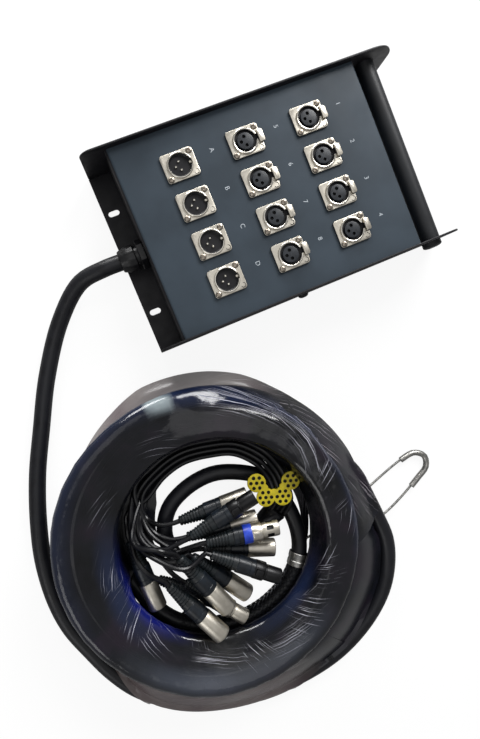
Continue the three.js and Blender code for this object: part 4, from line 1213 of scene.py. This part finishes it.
# The run's middle beyond its first third: angle round the coil, radius and height
run_polar = []
for point in run_points[len(run_points) // 3:]:
    x, y = point.x - COIL_CENTRE[0], point.y - COIL_CENTRE[1]
    run_polar.append((math.degrees(math.atan2(y, x)) % 360, math.hypot(x, y), point.z))
# Half the width of the run with the film on it, and the point of a section at the ring's shoulder
OVER_RUN, SHOULDER = 9.4, 8


def reach_at(table, angle):
    """A table's radius at an angle, which is kept within the table's own."""
    angle = min(max(angle, table[0][0]), table[-1][0])
    for (a, p), (b, q) in zip(table, table[1:]):
        if a <= angle <= b:
            return p + (q - p) * (angle - a) / (b - a)


def run_at(angle):
    """The middle of the cable's run at an angle, as its radius and height."""
    away, r, z = min((abs((a - angle + 180) % 360 - 180), r, z) for a, r, z in run_polar)
    return r, z


def draped(angle, outer, low, steps=12):
    """From the ring's shoulder out to a radius and height, over the cable's run where that is in the way."""
    middle, height = run_at(angle)
    shoulder = section_at(angle)[SHOULDER]
    inner, top = shoulder.x - 2, shoulder.y
    line = []
    for k in range(steps + 1):
        r = inner + (outer - inner) * k / steps
        z = low + (top - low) * (1 - (k / steps) ** 1.3)
        away = abs(r - middle)
        line.append((r, max(z, height + math.sqrt(OVER_RUN ** 2 - away ** 2)) if away < OVER_RUN else z))
    return line


def upper_band(angle):
    """Clear film from the ring's edge down to its free edge; near the run it lies as over_run does."""
    inner, outer = max(point.x for point in section_at(angle)) - 3, reach_at(outer_reach, angle)
    own = [Vector((inner + (outer - inner) * k / 6, 15 - 11 * (k / 6) ** 2)) for k in range(7)]
    laid_over = [Vector(point) for point in draped(angle, outer, 3.1, 6)]
    return [tuple(a.lerp(b, ease(angle, 38, 56))) for a, b in zip(laid_over, own)]


def lower_band(angle):
    """Clear film from the ring out onto the run."""
    outer = run_at(angle)[0] - 9 + 19.5 * ease(angle, 204, 232) - 12.5 * ease(angle, 268, 288)
    return draped(angle, outer, 4 + 8.2 * ease(angle, 268, 288))


def beside_run(angle):
    """Dark film from the ring to the run's inner side."""
    return draped(angle, run_at(angle)[0] - 2 - 7 * ease(angle, 290, 316), 12)


def over_run(angle):
    """Dark film from the ring over the run and down beyond it."""
    return draped(angle, run_at(angle)[0] + 10 if angle < 362 else reach_at(outer_reach, angle - 360), 3)


def inner_band(angle):
    """A dark loose edge on the floor inside the ring."""
    outer = min(point.x for point in section_at(angle)) + 6
    inner = min(reach_at(inner_reach, angle), outer - 1)
    return [(outer + (inner - outer) * k / 6, 0.45) for k in range(7)]


free_film(36, 126, upper_band, lambda angle: 1 - ease(angle, 38, 60))
free_film(204, 296, lower_band, lambda angle: ease(angle, 262, 290))
free_film(284, 348, beside_run, lambda angle: 1.0)
free_film(334, 398, over_run, lambda angle: 1.0, 11)
free_film(317, 560, inner_band, lambda angle: 1.0)
film = piece("film_wrap", film_form, [layered_film(), clear_film()], degrees=60)
for key, values in marks_at.items():
    layer = film.data.attributes.new(key, "FLOAT", "POINT")
    layer.data.foreach_set("value", values)


# Floor and light, in metres
def paper_floor():
    """White paper: nearly even white to the camera with a faint shadow, and plain grey paper to the rest."""
    made, tree, shader = blank("white_paper_floor")
    wire(tree, shader, {"Base Color": colour("#b8b8b8"), "Roughness": 0.9, "Specular IOR Level": 0.0})
    paper = add(tree, "ShaderNodeBsdfDiffuse", {"Color": colour("#f6f6f6")})
    glow = add(tree, "ShaderNodeEmission", {"Color": (1, 1, 1, 1), "Strength": 1.04})
    even = add(tree, "ShaderNodeMixShader", {0: 0.86, 1: paper, 2: glow})
    seen = add(tree, "ShaderNodeLightPath").outputs["Is Camera Ray"]
    both = add(tree, "ShaderNodeMixShader", {0: seen, 1: shader, 2: even})
    wire(tree, tree.nodes["Material Output"], {"Surface": both})
    return made


floor_mesh = bpy.data.meshes.new("floor")
floor_mesh.from_pydata([(-3, -3, 0), (3, -3, 0), (3, 3, 0), (-3, 3, 0)], [], [(0, 1, 2, 3)])
floor_mesh.materials.append(paper_floor())
shown("floor", floor_mesh)


def lamp(name, place, target, size, power):
    light = bpy.data.lights.new(name, "AREA")
    light.shape, light.size, light.energy = "DISK", size, power
    made = shown(name, light)
    made.location = place
    made.rotation_euler = (Vector(target) - Vector(place)).to_track_quat("-Z", "Y").to_euler()


lamp("key", (1.15, 0.9, 1.1), (-0.1, -0.15, 0), 0.9, 31)
lamp("overhead", (-0.15, -0.05, 1.9), (-0.1, -0.15, 0), 1.5, 3.5)
lamp("fill", (-1.3, -0.9, 1.2), (-0.1, -0.2, 0), 0.9, 4)
lamp("low_side", (0.1, 1.5, 0.4), (-0.05, 0, 0), 0.9, 28)
world = bpy.data.worlds.new("grey_room")
bpy.context.scene.world = world
world.use_nodes = True
wire(world.node_tree, world.node_tree.nodes["Background"], {"Color": (1, 1, 1, 1), "Strength": 0.27})
bpy.context.scene.view_settings.view_transform = "Standard"
